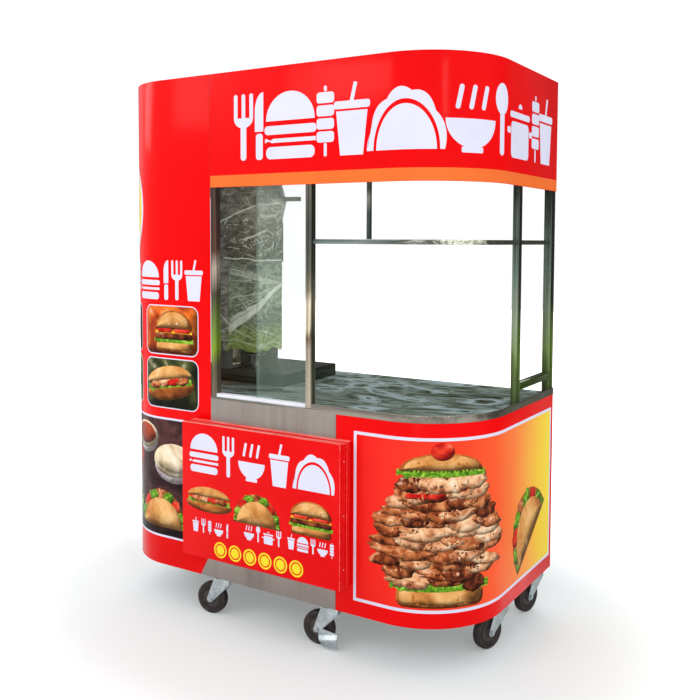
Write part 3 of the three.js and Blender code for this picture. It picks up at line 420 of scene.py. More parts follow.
def deck_steel(name):
    """The counter deck under its loose protective film, which mirrors in long curling patches."""
    made = Finish(name, 0.0)
    place = made.place()
    warped = made.stretched(place, (0.62, 1.15, 1.0))
    sweep = made.grain(warped, 1.3, 1.0, 1.4, 0.4)
    patch = made.grain(warped, 2.0, 1.0, 3.6, 0.30)
    curl = made.grain(warped, 4.4, 1.5, 3.8, 0.40)
    ripple = made.grain(warped, 22.0, 3.0, 2.2)
    # The ground tones are a painted reflection of dark surroundings
    ground = made.ramp(
        curl * 0.6 + sweep * 0.3 + ripple * 0.1,
        (0.34, 64, 71, 56), (0.45, 104, 115, 105), (0.51, 136, 149, 143),
        (0.56, 100, 111, 99), (0.68, 74, 83, 62),
    )
    # Painted light: lighter towards the left end, where the deck lies in shade
    shaded = made.axis(place, "X").smooth_step(-0.20, -0.45)
    ground = made.mix(shaded * 0.6, ground, shade(176, 156, 132))
    # Painted reflections: light curling patches and thin lines
    sheen = made.ramp(
        patch * 0.74 + curl * 0.18 + sweep * 0.08,
        (0.503, BLACK), (0.510, WHITE), (0.518, 150, 150, 150),
        (0.548, 220, 220, 220), (0.602, WHITE), (0.608, BLACK),
    )
    lines = made.ramp(curl, (0.570, BLACK), (0.584, 150, 150, 150), (0.592, BLACK))
    made.feed({
        "Base Color": made.mix(sheen * 0.92 + lines * 0.7, ground, shade(172, 190, 194)),
        "Roughness": ripple * 0.30 + 0.24,
    })
    made.bump(patch + curl * 0.4, 0.004, 0.5)
    return made


def zinc(name):
    """Bright zinc plating with a bluish cast and dull spots."""
    made = Finish(name, 0.5, {"Metallic": 1.0})
    place = made.place()
    cloud = made.grain(place, 28.0, 4.0, 0.6)
    tone = cloud * 0.75 + made.cells(place, 90.0) * 0.3
    made.feed({
        "Base Color": made.ramp(tone, (0.3, 168, 180, 184), (0.62, 204, 214, 217), (0.8, 228, 234, 235)),
        "Roughness": cloud * 0.3 + 0.24,
    })
    made.bump(cloud, 0.0004, 0.5)
    return made


def green_glass(name):
    """Float glass: almost clear, with a pale green cast and faint wiping marks."""
    made = Finish(name, 0.25, {"Base Color": colours().glass})
    marks = made.grain(made.place(), 3.0, 4.0, 1.2, stretch=(3.0, 3.0, 0.8))
    made.feed({"Alpha": marks * 0.05 + 0.012, "Roughness": marks * 0.06 + 0.03})
    return made


def wrap_film(name):
    """Cloudy wrapping film: brown and grey at the top, green towards the hem, white along its creases."""
    made = Finish(name, 0.5, {"Coat Weight": 0.2, "Coat Roughness": 0.10, "Emission Strength": 1.0})
    place = made.place()
    crease = made.node("ShaderNodeAttribute", {"attribute_name": CREASE}, output="Fac")
    slack = made.grain(place, 1.6, 4.0, 1.5, stretch=(4.0, 4.0, 7.0))
    crinkle = made.grain(place, 1.6, 4.0, 1.6, stretch=(11.0, 11.0, 22.0))
    level = (made.axis(place, "Z") - FILM_BOTTOM) / (FILM_TOP - FILM_BOTTOM) + (slack - 0.5) * 0.14
    # Tones painted lighter than the film's own, to make up for the shade under the canopy
    haze = made.ramp(
        level,
        (0.0, 158, 180, 88), (0.10, 170, 190, 118), (0.17, 136, 148, 120),
        (0.36, 176, 188, 160), (0.50, 152, 158, 142), (0.55, 128, 122, 106),
        (0.73, 154, 146, 130), (0.80, 206, 200, 186), (1.0, 152, 142, 128),
    )
    mast = made.ramp(slack + crinkle * 0.5, (0.55, 112, 106, 102), (0.85, 176, 170, 164))
    haze = made.mix((made.axis(place, "X") * -1.0).smooth_step(0.425, 0.440) * 0.75, haze, mast)
    # Painted shade and highlight of the crinkles
    haze = made.mix(1.0, haze, crinkle.smooth_step(0.30, 0.66) * 0.75 + 0.50, "MULTIPLY")
    # Painted highlights along the creases and the bright crinkles, with a faint painted glow from the
    # emission
    bright = (crease + crinkle.smooth_step(0.60, 0.74) * 0.35).smooth_step(0.08, 1.0)
    made.feed({
        "Base Color": made.mix(bright, haze, shade(240, 243, 232)),
        "Emission Color": made.mix(bright, BLACK, shade(118, 122, 112)),
        "Alpha": (bright * 0.35 + slack * 0.30 + 0.66).smooth_step(0.0, 1.0),
        "Roughness": crinkle * 0.2 + 0.14,
    })
    return made


def ceramic(name):
    """Perforated ceramic plaque of a gas burner."""
    made = Finish(name, 0.2)
    place = made.place()
    holes = made.cells(place, 420.0)
    heat = made.grain(place, 14.0, 3.0)
    base = made.ramp(heat, (0.3, 176, 150, 124), (0.7, 216, 200, 178))
    made.feed({
        "Base Color": made.mix(holes.smooth_step(0.12, 0.30), shade(92, 70, 56), base),
        "Roughness": heat * 0.2 + 0.7,
    })
    made.bump(holes, 0.0006, 0.8)
    return made


def light_box_acrylic(name):
    """The light box's red acrylic."""
    made = Finish(name, PRINT_GLOSS)
    place = made.place()
    cloud = made.grain(place, 4.0, 3.0).smooth_step(0.3, 0.75)
    made.feed({
        "Base Color": made.mix(cloud, shade(228, 8, 12), shade(236, 18, 21)),
        "Roughness": made.grain(place, 2.0, stretch=(2.0, 40.0, 40.0)) * 0.16 + 0.12,
    })
    made.bump(made.grain(place, 1.0, 1.0, stretch=(3.0, 3.0, 3.0)), 0.004)
    return made


def plain_finish(
    name, gloss, grain, stops, rough, stretch=None, rough_grain=None, alpha=None, bump=None, bump_grain=None,
):
    """Tones and a roughness that follow one grain. Pairs multiply a grain and add to it."""
    made = Finish(name, gloss)
    place = made.place()
    cloud = made.grain(place, *grain, stretch=stretch)
    worn = made.grain(place, rough_grain) if rough_grain else cloud
    made.feed({"Base Color": made.ramp(cloud, *stops), "Roughness": worn * rough[0] + rough[1]})
    if alpha:
        made.feed({"Alpha": cloud * alpha[0] + alpha[1]})
    if bump:
        made.bump(made.grain(place, *bump_grain) if bump_grain else cloud, *bump)
    return made


PLAIN = {
    # The plain grey back of the composite panels
    "panel_back": dict(
        gloss=0.3, grain=(5.0, 4.0), stops=((0.3, 176, 176, 172), (0.7, 196, 196, 192)),
        rough=(0.2, 0.4), rough_grain=30.0,
    ),
    # Their dark cut edge
    "panel_edge": dict(
        gloss=0.3, grain=(90.0, 3.0), stops=((0.35, 70, 60, 58), (0.65, 120, 108, 104)), rough=(0.3, 0.35),
    ),
    # Dark brown moulded rubber with dust in its grooves
    "tyre_rubber": dict(
        gloss=0.35, grain=(36.0, 5.0, 0.4), rough=(0.35, 0.42), bump=(0.0005, 0.6), bump_grain=(260.0, 2.0),
        stops=((0.35, 40, 34, 33), (0.62, 60, 52, 50), (0.80, 96, 86, 80)),
    ),
    # The wheel's moulded centre, a little smoother than its tyre
    "hub_plastic": dict(
        gloss=0.45, grain=(60.0, 3.0), stops=((0.3, 52, 46, 45), (0.7, 74, 66, 64)), rough=(0.2, 0.35),
    ),
    # White extruded plastic, scuffed along its run
    "white_track": dict(
        gloss=0.4, grain=(1.0, 4.0), stops=((0.28, 206, 208, 216), (0.5, 236, 238, 246)),
        rough=(0.2, 0.3), stretch=(6.0, 160.0, 160.0),
    ),
    # The ground edge of a pane, where the tint shows strongest
    "glass_edge": dict(
        gloss=0.3, grain=(300.0, 3.0), stops=((0.3, 120, 146, 130), (0.7, 164, 186, 172)),
        rough=(0.3, 0.3), alpha=(0.2, 0.45),
    ),
    # Moulded black knobs
    "black_plastic": dict(
        gloss=0.45, grain=(200.0, 2.0), stops=((0.3, 20, 20, 21), (0.7, 34, 33, 33)),
        rough=(0.2, 0.38), bump=(0.0002, 0.5),
    ),
    # Painted highlight on the light box's top and folded edges
    "light_box_edge": dict(
        gloss=PRINT_GLOSS, grain=(1.5, 3.0, 0.6), rough=(0.2, 0.15), stretch=(3.0, 60.0, 60.0),
        stops=((0.36, 238, 62, 58), (0.52, 247, 108, 100), (0.66, 252, 158, 150)),
    ),
}


def sheet_looks():
    """Brushed sheets: grain, cloud scale, roughness, streaks, metal, then dark, middle and light tones."""
    return {
        "panel_steel": (
            "Z", 2.4, (0.26, 0.42), 0.22, 1.0, (140, 131, 125), (tuple(colours().steel),), (176, 168, 163),
        ),
        "lip_steel": ("X", 3.2, (0.2, 0.36), 0.4, 1.0, (118, 112, 103), (152, 145, 135), (182, 176, 166)),
        "inner_sheet": ("Z", 2.0, (0.3, 0.5), 0.4, 1.0, (96, 97, 95), (136, 137, 134), (176, 177, 173)),
        "door_steel": ("Z", 1.4, (0.26, 0.42), 0.22, 1.0, (150, 145, 140), (176, 171, 165), (196, 191, 186)),
        # The grill's tones are painted lighter than its steel, to make up for the shade that it stands in
        "grill_steel": ("X", 3.0, (0.24, 0.44), 0.4, 0.25, (92, 82, 68), (132, 120, 102), (186, 178, 164)),
        "mast_steel": ("Z", 2.6, (0.26, 0.44), 0.4, 0.3, (92, 90, 86), (128, 126, 120), (168, 166, 160)),
    }


POST_SPAN = ("Z", 0.83, 1.60)


def tube_looks():
    """The bands that the square tubes mirror, from their low ends to their high ones."""
    return {
        "front_post_steel": (
            *POST_SPAN,
            (0.0, 178, 170, 154), (0.26, 166, 156, 138), (0.31, 120, 100, 78), (0.35, 214, 202, 172),
            (0.46, 232, 222, 196), (0.52, 150, 142, 120), (0.60, 108, 108, 98),
            (0.80, tuple(colours().steel_dark)), (1.0, 104, 100, 92),
        ),
        # Painted shade: the tones of the post faces turned to the right
        "front_post_shade": (
            *POST_SPAN,
            (0.0, 112, 112, 92), (0.30, 80, 78, 64), (0.45, 140, 134, 112),
            (0.60, 74, 76, 68), (1.0, 60, 56, 50),
        ),
        "jamb_post_steel": (
            *POST_SPAN,
            (0.0, 120, 108, 94), (0.16, 96, 92, 72), (0.24, 128, 156, 46), (0.34, 112, 138, 60),
            (0.50, 86, 78, 66), (0.62, 196, 182, 166), (0.70, 104, 74, 66), (1.0, 84, 68, 60),
        ),
        "side_post_steel": (
            *POST_SPAN,
            (0.0, 98, 110, 74), (0.20, 126, 148, 88), (0.40, 142, 154, 130),
            (0.60, 118, 134, 124), (0.80, 104, 116, 108), (1.0, 76, 78, 70),
        ),
        # Painted shade: the tones of the post faces turned to the right
        "side_post_shade": (
            *POST_SPAN,
            (0.0, 62, 80, 28), (0.22, 104, 138, 20), (0.36, 84, 116, 30),
            (0.46, 52, 56, 40), (0.70, 56, 50, 44), (1.0, 46, 38, 34),
        ),
        # Painted light and reflection: lighter at the left end, which lies in shade, and darker where the
        # base is open
        "grill_base_steel": (
            "X", -0.50, 0.0,
            (0.0, 112, 102, 86), (0.34, 106, 102, 92), (0.44, 106, 108, 98),
            (0.54, 64, 70, 58), (1.0, 60, 66, 52),
        ),
        "low_rail_steel": (
            "Y", -0.30, 0.40, (0.0, 56, 72, 26), (0.4, 84, 108, 36), (0.7, 66, 84, 34), (1.0, 84, 96, 54),
        ),
        # Painted reflections, with a bright painted highlight towards the right end
        "rail_steel": (
            "X", -0.10, 0.90,
            (0.0, 60, 72, 70), (0.29, 60, 72, 70), (0.34, 112, 128, 124), (0.48, 136, 148, 142),
            (0.60, 110, 118, 112), (0.66, 160, 162, 152), (0.72, 112, 114, 106), (0.79, 234, 236, 214),
            (0.836, 220, 224, 202), (0.846, 84, 90, 78), (1.0, 60, 66, 56),
        ),
        "hanger_steel": (
            "Z", 1.40, 1.62,
            (0.0, 50, 62, 58), (0.45, 64, 76, 70), (0.66, 128, 132, 120),
            (0.80, 66, 68, 60), (1.0, 78, 78, 66),
        ),
    }


# Printed foods: scale, distortion, detail, cells and tones
FOODS = {
    "print_roast": (
        22.0, 1.5, 6.0, 1.3, (0.28, 58, 22, 12), (0.42, 122, 52, 24), (0.52, 176, 92, 48),
        (0.62, 216, 138, 86), (0.74, 244, 198, 158),
    ),
    "print_char": (
        26.0, 1.2, 6.0, 1.5, (0.30, 38, 14, 8), (0.46, 84, 34, 16), (0.60, 140, 66, 32), (0.76, 196, 118, 70),
    ),
    "print_slice": (
        18.0, 1.6, 6.0, 1.2, (0.28, 104, 44, 24), (0.40, 186, 106, 66), (0.52, 232, 170, 122),
        (0.64, 246, 208, 168), (0.76, 252, 228, 200),
    ),
    "print_moss": (
        7.0, 1.2, 5.0, 0.0, (0.30, 26, 30, 18), (0.48, 48, 56, 30), (0.62, 78, 86, 44), (0.76, 120, 122, 70),
    ),
    "print_bread": (
        9.0, 0.5, 5.0, 0.0, (0.28, 176, 104, 44), (0.46, 214, 146, 76),
        (0.60, 236, 182, 112), (0.76, 250, 220, 164),
    ),
    "print_crust": (14.0, 0.6, 5.0, 0.0, (0.30, 126, 62, 22), (0.52, 178, 98, 40), (0.72, 222, 150, 78)),
    "print_leaf": (
        30.0, 2.2, 6.0, 0.0, (0.28, 34, 74, 14), (0.45, 78, 132, 26),
        (0.58, 132, 182, 46), (0.74, 204, 226, 112),
    ),
    "print_tomato": (
        16.0, 0.8, 4.0, 1.4, (0.26, 150, 12, 12), (0.46, 208, 30, 22),
        (0.62, 236, 70, 44), (0.78, 250, 150, 116),
    ),
    "print_cheese": (8.0, 0.4, 3.0, 0.0, (0.30, 240, 162, 20), (0.55, 252, 196, 44), (0.75, 254, 222, 104)),
    "print_onion": (22.0, 1.6, 4.0, 0.0, (0.30, 196, 176, 188), (0.50, 232, 220, 226), (0.70, 250, 246, 244)),
    "print_sauce": (12.0, 1.2, 3.0, 0.0, (0.30, 214, 190, 148), (0.50, 236, 220, 186), (0.72, 250, 242, 222)),
    "print_plum": (
        7.0, 1.2, 5.0, 0.0, (0.30, 40, 22, 26), (0.48, 66, 38, 40), (0.62, 92, 58, 56), (0.76, 128, 92, 84),
    ),
    "print_ember": (
        5.0, 0.8, 4.0, 0.0, (0.30, 92, 26, 14), (0.46, 168, 60, 20),
        (0.60, 230, 110, 34), (0.76, 250, 170, 70),
    ),
    "print_board": (10.0, 3.0, 5.0, 0.0, (0.30, 120, 72, 40), (0.52, 160, 104, 62), (0.72, 196, 142, 94)),
    "print_pepper": (10.0, 0.6, 3.0, 0.0, (0.30, 34, 96, 20), (0.50, 62, 146, 34), (0.72, 142, 204, 90)),
}

# Cut prints, by the setting that holds their colour
CUT_PRINTS = {"print_white": "lettering", "print_orange": "stripe", "print_yellow": "accent"}

LOOKS = {
    "red_vinyl": red_vinyl,
    "panel_gradient": panel_gradient,
    "deck_steel": deck_steel,
    "zinc": zinc,
    "green_glass": green_glass,
    "wrap_film": wrap_film,
    "ceramic": ceramic,
    "light_box_acrylic": light_box_acrylic,
}


def finish(name):
    """The finish of that name, made when it is first asked for."""
    full = "cart_" + name
    ready = bpy.data.materials.get(full)
    if ready:
        return ready
    if name in LOOKS:
        made = LOOKS[name](full)
    elif name in PLAIN:
        made = plain_finish(full, **PLAIN[name])
    elif name in FOODS:
        made = printed_food(full, *FOODS[name])
    elif name in CUT_PRINTS:
        made = cut_print(full, tuple(getattr(colours(), CUT_PRINTS[name])))
    elif name in tube_looks():
        made = mirror_steel(full, *tube_looks()[name])
    else:
        made = brushed_steel(full, *sheet_looks()[name])
    return made.material


# Meshes


def link(name, data):
    """A new object at the origin."""
    made = bpy.data.objects.new(name, data)
    bpy.context.scene.collection.objects.link(made)
    return made


def add_piece(name, mesh, looks):
    for look in looks:
        mesh.materials.append(finish(look))
    return link(name, mesh)


def settle(piece):
    """Turns a piece's modifiers into plain mesh, smooth but for its sharp edges."""
    bpy.context.view_layer.update()
    graph = bpy.context.evaluated_depsgraph_get()
    mesh = bpy.data.meshes.new_from_object(piece.evaluated_get(graph))
    piece.modifiers.clear()
    old = piece.data
    piece.data = mesh
    bpy.data.meshes.remove(old)
    mesh.name = piece.name
    mesh.polygons.foreach_set("use_smooth", [True] * len(mesh.polygons))
    mesh.set_sharp_from_angle(angle=SMOOTH_ANGLE)


def seat(piece, body="cart", node=None):
    """Says which body a piece rides on, which slot it fills and which node it stands for."""
    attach(piece, body)
    if node:
        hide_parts(node)


def round_edges(piece, width, segments=2):
    bevel = piece.modifiers.new("edges", "BEVEL")
    bevel.width = width
    bevel.segments = segments
    bevel.limit_method = "ANGLE"
    bevel.angle_limit = BEVEL_ANGLE
    bevel.use_clamp_overlap = True


def thicken(piece, thickness, inner_look=0, rim_look=0):
    wall = piece.modifiers.new("wall", "SOLIDIFY")
    wall.thickness = thickness
    wall.offset = -1
    wall.material_offset = inner_look
    wall.material_offset_rim = rim_look


def cut(shell, point, normal, clear=False):
    """Cuts a mesh along a plane, and when asked takes away what lies beyond it."""
    everything = [*shell.verts, *shell.edges, *shell.faces]
    plane = {"plane_co": point, "plane_no": normal}
    bmesh.ops.bisect_plane(shell, geom=everything, dist=MERGE, clear_outer=clear, **plane)


def to_mesh(name, shell):
    mesh = bpy.data.meshes.new(name)
    shell.to_mesh(mesh)
    shell.free()
    return mesh


def merged_copy(node):
    """A node's surface with its loose triangles joined into whole faces."""
    shell = bmesh.new()
    shell.from_mesh(frame["nodes"][node].data)
    bmesh.ops.remove_doubles(shell, verts=shell.verts, dist=MERGE)
    bmesh.ops.dissolve_limit(shell, angle_limit=FLAT_ANGLE, verts=shell.verts, edges=shell.edges)
    shell.verts.index_update()
    points = [vertex.co.copy() for vertex in shell.verts]
    faces = [[vertex.index for vertex in face.verts] for face in shell.faces]
    shell.free()
    mesh = bpy.data.meshes.new(node)
    mesh.from_pydata(points, [], faces)
    mesh.update()
    return mesh


def dress(node, look, edge=None, segments=2, mesh=None):
    """A smooth copy of a node with rounded edges, which stands for it and moves with its body."""
    piece = add_piece(node + "_finish", mesh or merged_copy(node), [look])
    round_edges(piece, edge or sizes().edge, segments)
    settle(piece)
    seat(piece, frame["nodes"][node]["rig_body"], node)
    return piece


def assign_faces(piece, look, chosen):
    """Gives a second finish to the faces that a test chooses by their middle and normal."""
    piece.data.materials.append(finish(look))
    index = len(piece.data.materials) - 1
    for face in piece.data.polygons:
        if chosen(face.center, face.normal):
            face.material_index = index


# The outline


def outline(station, inset=0.0):
    """The point of the cart's outline at a station, moved inwards by an inset."""
    if station <= LEFT_ARC:
        return Vector((LEFT + inset, REAR - station))
    if station < FRONT_RUN:
        turn = (station - LEFT_ARC) / LEFT_RADIUS
        reach = LEFT_RADIUS - inset
        x = LEFT + LEFT_RADIUS - reach * math.cos(turn)
        return Vector((x, FRONT + LEFT_RADIUS - reach * math.sin(turn)))
    if station <= RIGHT_ARC:
        return Vector((LEFT + LEFT_RADIUS + station - FRONT_RUN, FRONT + inset))
    if station < RIGHT_RUN:
        turn = (station - RIGHT_ARC) / RIGHT_RADIUS
        reach = RIGHT_RADIUS - inset
        x = RIGHT - RIGHT_RADIUS + reach * math.sin(turn)
        return Vector((x, FRONT + RIGHT_RADIUS - reach * math.cos(turn)))
    return Vector((RIGHT - inset, FRONT + RIGHT_RADIUS + station - RIGHT_RUN))


def front_station(x):
    return FRONT_RUN + x - LEFT - LEFT_RADIUS


def arc_stations(start, end):
    """Stations from start to end: both ends and the steps of the two arcs."""
    stations = [start]
    for low, high, radius in ((LEFT_ARC, FRONT_RUN, LEFT_RADIUS), (RIGHT_ARC, RIGHT_RUN, RIGHT_RADIUS)):
        count = math.ceil((high - low) / radius / ARC_STEP)
        for step in range(count + 1):
            station = low + (high - low) * step / count
            if start + MERGE < station < end - MERGE:
                stations.append(station)
    return stations + [end]


def curved_skin(node, start, end, low, high, window=None, corner=None):
    """A sheet bent round the outline, with a window and a lower corner cut off where asked."""
    stations = arc_stations(start, end)
    levels = [low, high]
    if window:
        stations = sorted(set(stations + [window[1]]))
        levels = [low, window[2], window[3], high]
    shell = bmesh.new()
    inset = sizes().vinyl_inset
    grid = [[shell.verts.new((*outline(station, inset), z)) for z in levels] for station in stations]
    for i in range(len(stations) - 1):
        middle = (stations[i] + stations[i + 1]) / 2
        for j in range(len(levels) - 1):
            if window and window[0] <= middle <= window[1] and levels[j] == window[2]:
                continue
            shell.faces.new((grid[i][j], grid[i + 1][j], grid[i + 1][j + 1], grid[i][j + 1]))
    if corner:
        (x0, z0), (x1, z1) = corner
        cut(shell, (x0, 0, z0), (z1 - z0, 0, x0 - x1), clear=True)
    name = node + "_vinyl"
    piece = add_piece(name, to_mesh(name, shell), ["red_vinyl", "panel_back", "panel_edge"])
    thicken(piece, sizes().sheet, 1, 2)
    round_edges(piece, sizes().edge / 2)
    settle(piece)
    seat(piece, node=node)


# Printed shapes in print coordinates: how far along the outline, and how high

DOME_SHARES = (1.0, 0.97, 0.90, 0.78, 0.60, 0.36)


def slab(x0, x1, z0, z1, radius=0.0, steps=6):
    """A rectangle with rounded corners."""
    if radius <= 0:
        return [(x0, z0), (x1, z0), (x1, z1), (x0, z1)]
    points = []
    right, left, low, high = x1 - radius, x0 + radius, z0 + radius, z1 - radius
    for x, z, start in ((right, low, -90), (right, high, 0), (left, high, 90), (left, low, 180)):
        for step in range(steps + 1):
            turn = math.radians(start + 90 * step / steps)
            points.append((x + radius * math.cos(turn), z + radius * math.sin(turn)))
    return points


def bar(half, z0, z1, radius=0.0, x=0.0):
    """A slab given by half its width."""
    return slab(x - half, x + half, z0, z1, radius)


def disc(x, z, rx, rz=None, start=0, end=360, steps=36):
    """An ellipse, or the part of it between two angles."""
    rz = rx if rz is None else rz
    count = steps if end - start >= 360 else steps + 1
    turns = [math.radians(start + (end - start) * step / steps) for step in range(count)]
    return [(x + rx * math.cos(turn), z + rz * math.sin(turn)) for turn in turns]


def blob(x, z, rx, rz, rough, seed, steps=44):
    """An ellipse with a wandering edge."""
    points = []
    for step in range(steps):
        turn = 2 * math.pi * step / steps
        spot = Vector((math.cos(turn) * 1.7, math.sin(turn) * 1.7, seed * 7.3))
        reach = 1 + rough * (noise.noise(spot) + 0.5 * noise.noise(spot * 2.7))
        points.append((x + rx * reach * math.cos(turn), z + rz * reach * math.sin(turn)))
    return points


def frill(x0, x1, z0, z1, depth, waves, seed, steps=60):
    """A strip with a curly lower and upper edge, such as a leaf between two slices."""
    def edge(base, share, phase):
        x = x0 + (x1 - x0) * share
        swing = math.sin(share * waves * 2 * math.pi + phase)
        swing += noise.noise(Vector((share * waves, seed, phase)))
        return (x, base + depth * swing * math.sin(math.pi * min(1, share * 6)) ** 0.5 if share else base)
    lower = [edge(z0, step / steps, 0.0) for step in range(steps + 1)]
    upper = [edge(z1, step / steps, 1.7) for step in range(steps + 1)]
    return lower + upper[::-1]


def turned(points, x, z, degrees):
    """An outline turned about a point."""
    turn = math.radians(degrees)
    c, s = math.cos(turn), math.sin(turn)
    return [(x + (px - x) * c - (pz - z) * s, z + (px - x) * s + (pz - z) * c) for px, pz in points]


def tilted(shapes, degrees):
    return [(turned(points, 0, 0, degrees), look, layer) for points, look, layer in shapes]


def shifted(shapes, x, z, scale=1.0, layer=0):
    """A drawing made round its own origin, moved, scaled and raised by some layers."""
    moved = []
    for points, look, own in shapes:
        moved.append(([(x + px * scale, z + pz * scale) for px, pz in points], look, own + layer))
    return moved


def sides(points):
    return zip(points, points[1:] + points[:1])


def signed_area(points):
    return sum(x0 * z1 - x1 * z0 for (x0, z0), (x1, z1) in sides(points)) / 2


def faces_out(points, x, z):
    """Whether every side of an outline faces away from a point inside it."""
    return all((x0 - x) * (z1 - z) > (x1 - x) * (z0 - z) for (x0, z0), (x1, z1) in sides(points))


def lay_flat(shell, slope, points, height):
    corners = [shell.verts.new((x, height, z)) for x, z in points]
    for corner in corners:
        corner[slope] = UP
    return [shell.faces.new(corners)]


def lay_dome(shell, slope, points, height, x, z):
    """Rings from an outline to its middle, marked with the way that a rounded body would face there."""
    count = len(points)
    rims = []
    for index in range(count):
        along = Vector(points[(index + 1) % count]) - Vector(points[index - 1])
        rims.append(Vector((along.y, -along.x)).normalized())
    rings = []
    for share in DOME_SHARES:
        ring = []
        for (px, pz), rim in zip(points, rims):
            corner = shell.verts.new((x + (px - x) * share, height, z + (pz - z) * share))
            lean = rim * (0.96 * share ** 1.5)
            corner[slope] = (lean.x, lean.y, math.sqrt(1 - lean.length_squared))
            ring.append(corner)
        rings.append(ring)
    middle = shell.verts.new((x, height, z))
    middle[slope] = UP
    made = []
    for index in range(count):
        after = (index + 1) % count
        for outer, inner in zip(rings, rings[1:]):
            made.append(shell.faces.new((outer[index], outer[after], inner[after], inner[index])))
        made.append(shell.faces.new((rings[-1][index], rings[-1][after], middle)))
    return made


def printed(name, shapes, place, slices=()):
    """Coloured shapes laid on a face. A shape is an outline, its finish and its layer."""
    looks = sorted({look for points, look, layer in shapes})
    step = sizes().layer
    shell = bmesh.new()
    chart = shell.loops.layers.uv.new(PRINT_MAP)
    slope = shell.verts.layers.float_vector.new(SLOPE)
    for points, look, layer in shapes:
        if signed_area(points) < 0:
            points = points[::-1]
        x = sum(point[0] for point in points) / len(points)
        z = sum(point[1] for point in points) / len(points)
        if look in FOODS and faces_out(points, x, z):
            faces = lay_dome(shell, slope, points, layer * step, x, z)
        else:
            faces = lay_flat(shell, slope, points, layer * step)
        for face in faces:
            face.material_index = looks.index(look)
    bmesh.ops.triangulate(shell, faces=shell.faces)
    for station in slices:
        cut(shell, (station, 0, 0), (1, 0, 0))
    for face in shell.faces:
        for loop in face.loops:
            loop[chart].uv = (loop.vert.co.x, loop.vert.co.z)
    for vertex in shell.verts:
        vertex.co = place(*vertex.co)
    piece = add_piece(name, to_mesh(name, shell), looks)
    thicken(piece, step * 0.8)
    settle(piece)
    seat(piece)


def on_outline(station, lift, z):
    """Print coordinates carried onto the curved skins."""
    return Vector((*outline(station, sizes().vinyl_inset - lift), z))


def wrapped_print(name, shapes):
    """A print on the curved skins."""
    stations = [x for points, look, layer in shapes for x, z in points]
    printed(name, shapes, on_outline, arc_stations(min(stations), max(stations))[1:-1])


# White pictograms: their width and their parts, each one unit high and standing on its origin


def taco_rim():
    """The scalloped filling over a folded taco."""
    outer = []
    for step in range(91):
        turn = math.pi * step / 90
        reach = 1 + 0.075 * abs(math.sin(turn * 4.5))
        outer.append((0.55 * reach * math.cos(turn), 0.04 + 0.80 * reach * math.sin(turn)))
    return outer + disc(0, 0.04, 0.485, 0.685, 0, 180)[::-1]


SIGNS = {
    "fork": (0.37, [
        *(bar(0.035, 0.62, 1.0, 0.034, x) for x in (-0.15, 0.0, 0.15)),
        disc(0, 0.64, 0.185, 0.15, 180, 360), bar(0.055, 0.0, 0.55, 0.054),
    ]),
    "knife": (0.24, [
        [(-0.07, 0.42), (0.09, 0.42), (0.09, 1.0)] + disc(0.09, 0.72, 0.16, 0.28, 90, 180, 12)[1:],
        slab(-0.05, 0.08, 0.0, 0.39, 0.05),
    ]),
    "spoon": (0.34, [disc(0, 0.78, 0.16, 0.22), bar(0.055, 0.0, 0.60, 0.054)]),
    "cup": (0.60, [
        [(-0.26, 0.62), (-0.19, 0.0), (0.19, 0.0), (0.26, 0.62)],
        bar(0.30, 0.65, 0.76, 0.04), turned(bar(0.03, 0.74, 1.02), 0, 0.76, -14),
    ]),
    "bowl": (0.82, [
        disc(0, 0.46, 0.40, 0.40, 180, 360), bar(0.17, 0.0, 0.08, 0.02),
        *(turned(bar(0.035, 0.58, 0.92, 0.034, x), x, 0.75, -12) for x in (-0.2, 0.0, 0.2)),
    ]),
    "bun": (0.96, [
        disc(0, 0.56, 0.44, 0.42, 0, 180), bar(0.47, 0.36, 0.49, 0.06),
        frill(-0.46, 0.46, 0.24, 0.30, 0.02, 4, 3.0), bar(0.44, 0.0, 0.18, 0.08),
    ]),
    "skewer": (0.32, [
        bar(0.025, 0.0, 0.19, 0.02), bar(0.025, 0.92, 1.0, 0.02),
        *(bar(0.15, z, z + 0.155, 0.045) for z in (0.20, 0.385, 0.57, 0.755)),
    ]),
    "taco": (1.12, [disc(0, 0.04, 0.44, 0.62, 0, 180), taco_rim()]),
    "pot": (0.96, [
        bar(0.34, 0.0, 0.52, 0.08), bar(0.38, 0.57, 0.66, 0.04), disc(0, 0.72, 0.07, 0.07, 0, 180, 12),
        *(bar(0.06, 0.34, 0.43, 0.03, x) for x in (-0.42, 0.42)),
    ]),
}
OVERLAP = 0.35


def sign(name, layer):
    """A pictogram whose later parts lie a little above its first ones, where they overlap."""
    return [(part, "print_white", layer + OVERLAP * index) for index, part in enumerate(SIGNS[name][1])]


def sign_row(names, start, end, low, height):
    """Pictograms spread evenly between two stations."""
    names = names.split()
    widths = [SIGNS[name][0] * height for name in names]
    gap = (end - start - sum(widths)) / (len(names) - 1)
    shapes = []
    x = start
    for name, width in zip(names, widths):
        shapes += shifted(sign(name, 1), x + width / 2, low, height)
        x += width + gap
    return shapes


# Printed food, each drawn round its own origin at its real printed size


class Drawing:
    """Shapes of food, given in shares of half a width and of a height."""

    def __init__(self, width, height):
        self.half = width / 2
        self.height = height
        self.shapes = []

    def add(self, points, look, layer):
        self.shapes.append((points, "print_" + look, layer))

    def slab(self, x0, x1, z0, z1, radius, look, layer):
        h = self.height
        self.add(slab(x0 * self.half, x1 * self.half, z0 * h, z1 * h, radius * h), look, layer)

    def frill(self, reach, z0, z1, depth, waves, seed, look, layer):
        x, h = reach * self.half, self.height
        self.add(frill(-x, x, z0 * h, z1 * h, depth * h, waves, seed), look, layer)

    def disc(self, z, rx, rz, look, layer, start=0, end=180):
        self.add(disc(0, z * self.height, rx * self.half, rz * self.height, start, end), look, layer)

    def blob(self, x, z, rx, rz, rough, seed, look, layer, steps=44):
        h = self.height
        self.add(blob(x * self.half, z * h, rx * self.half, rz * h, rough, seed, steps), look, layer)


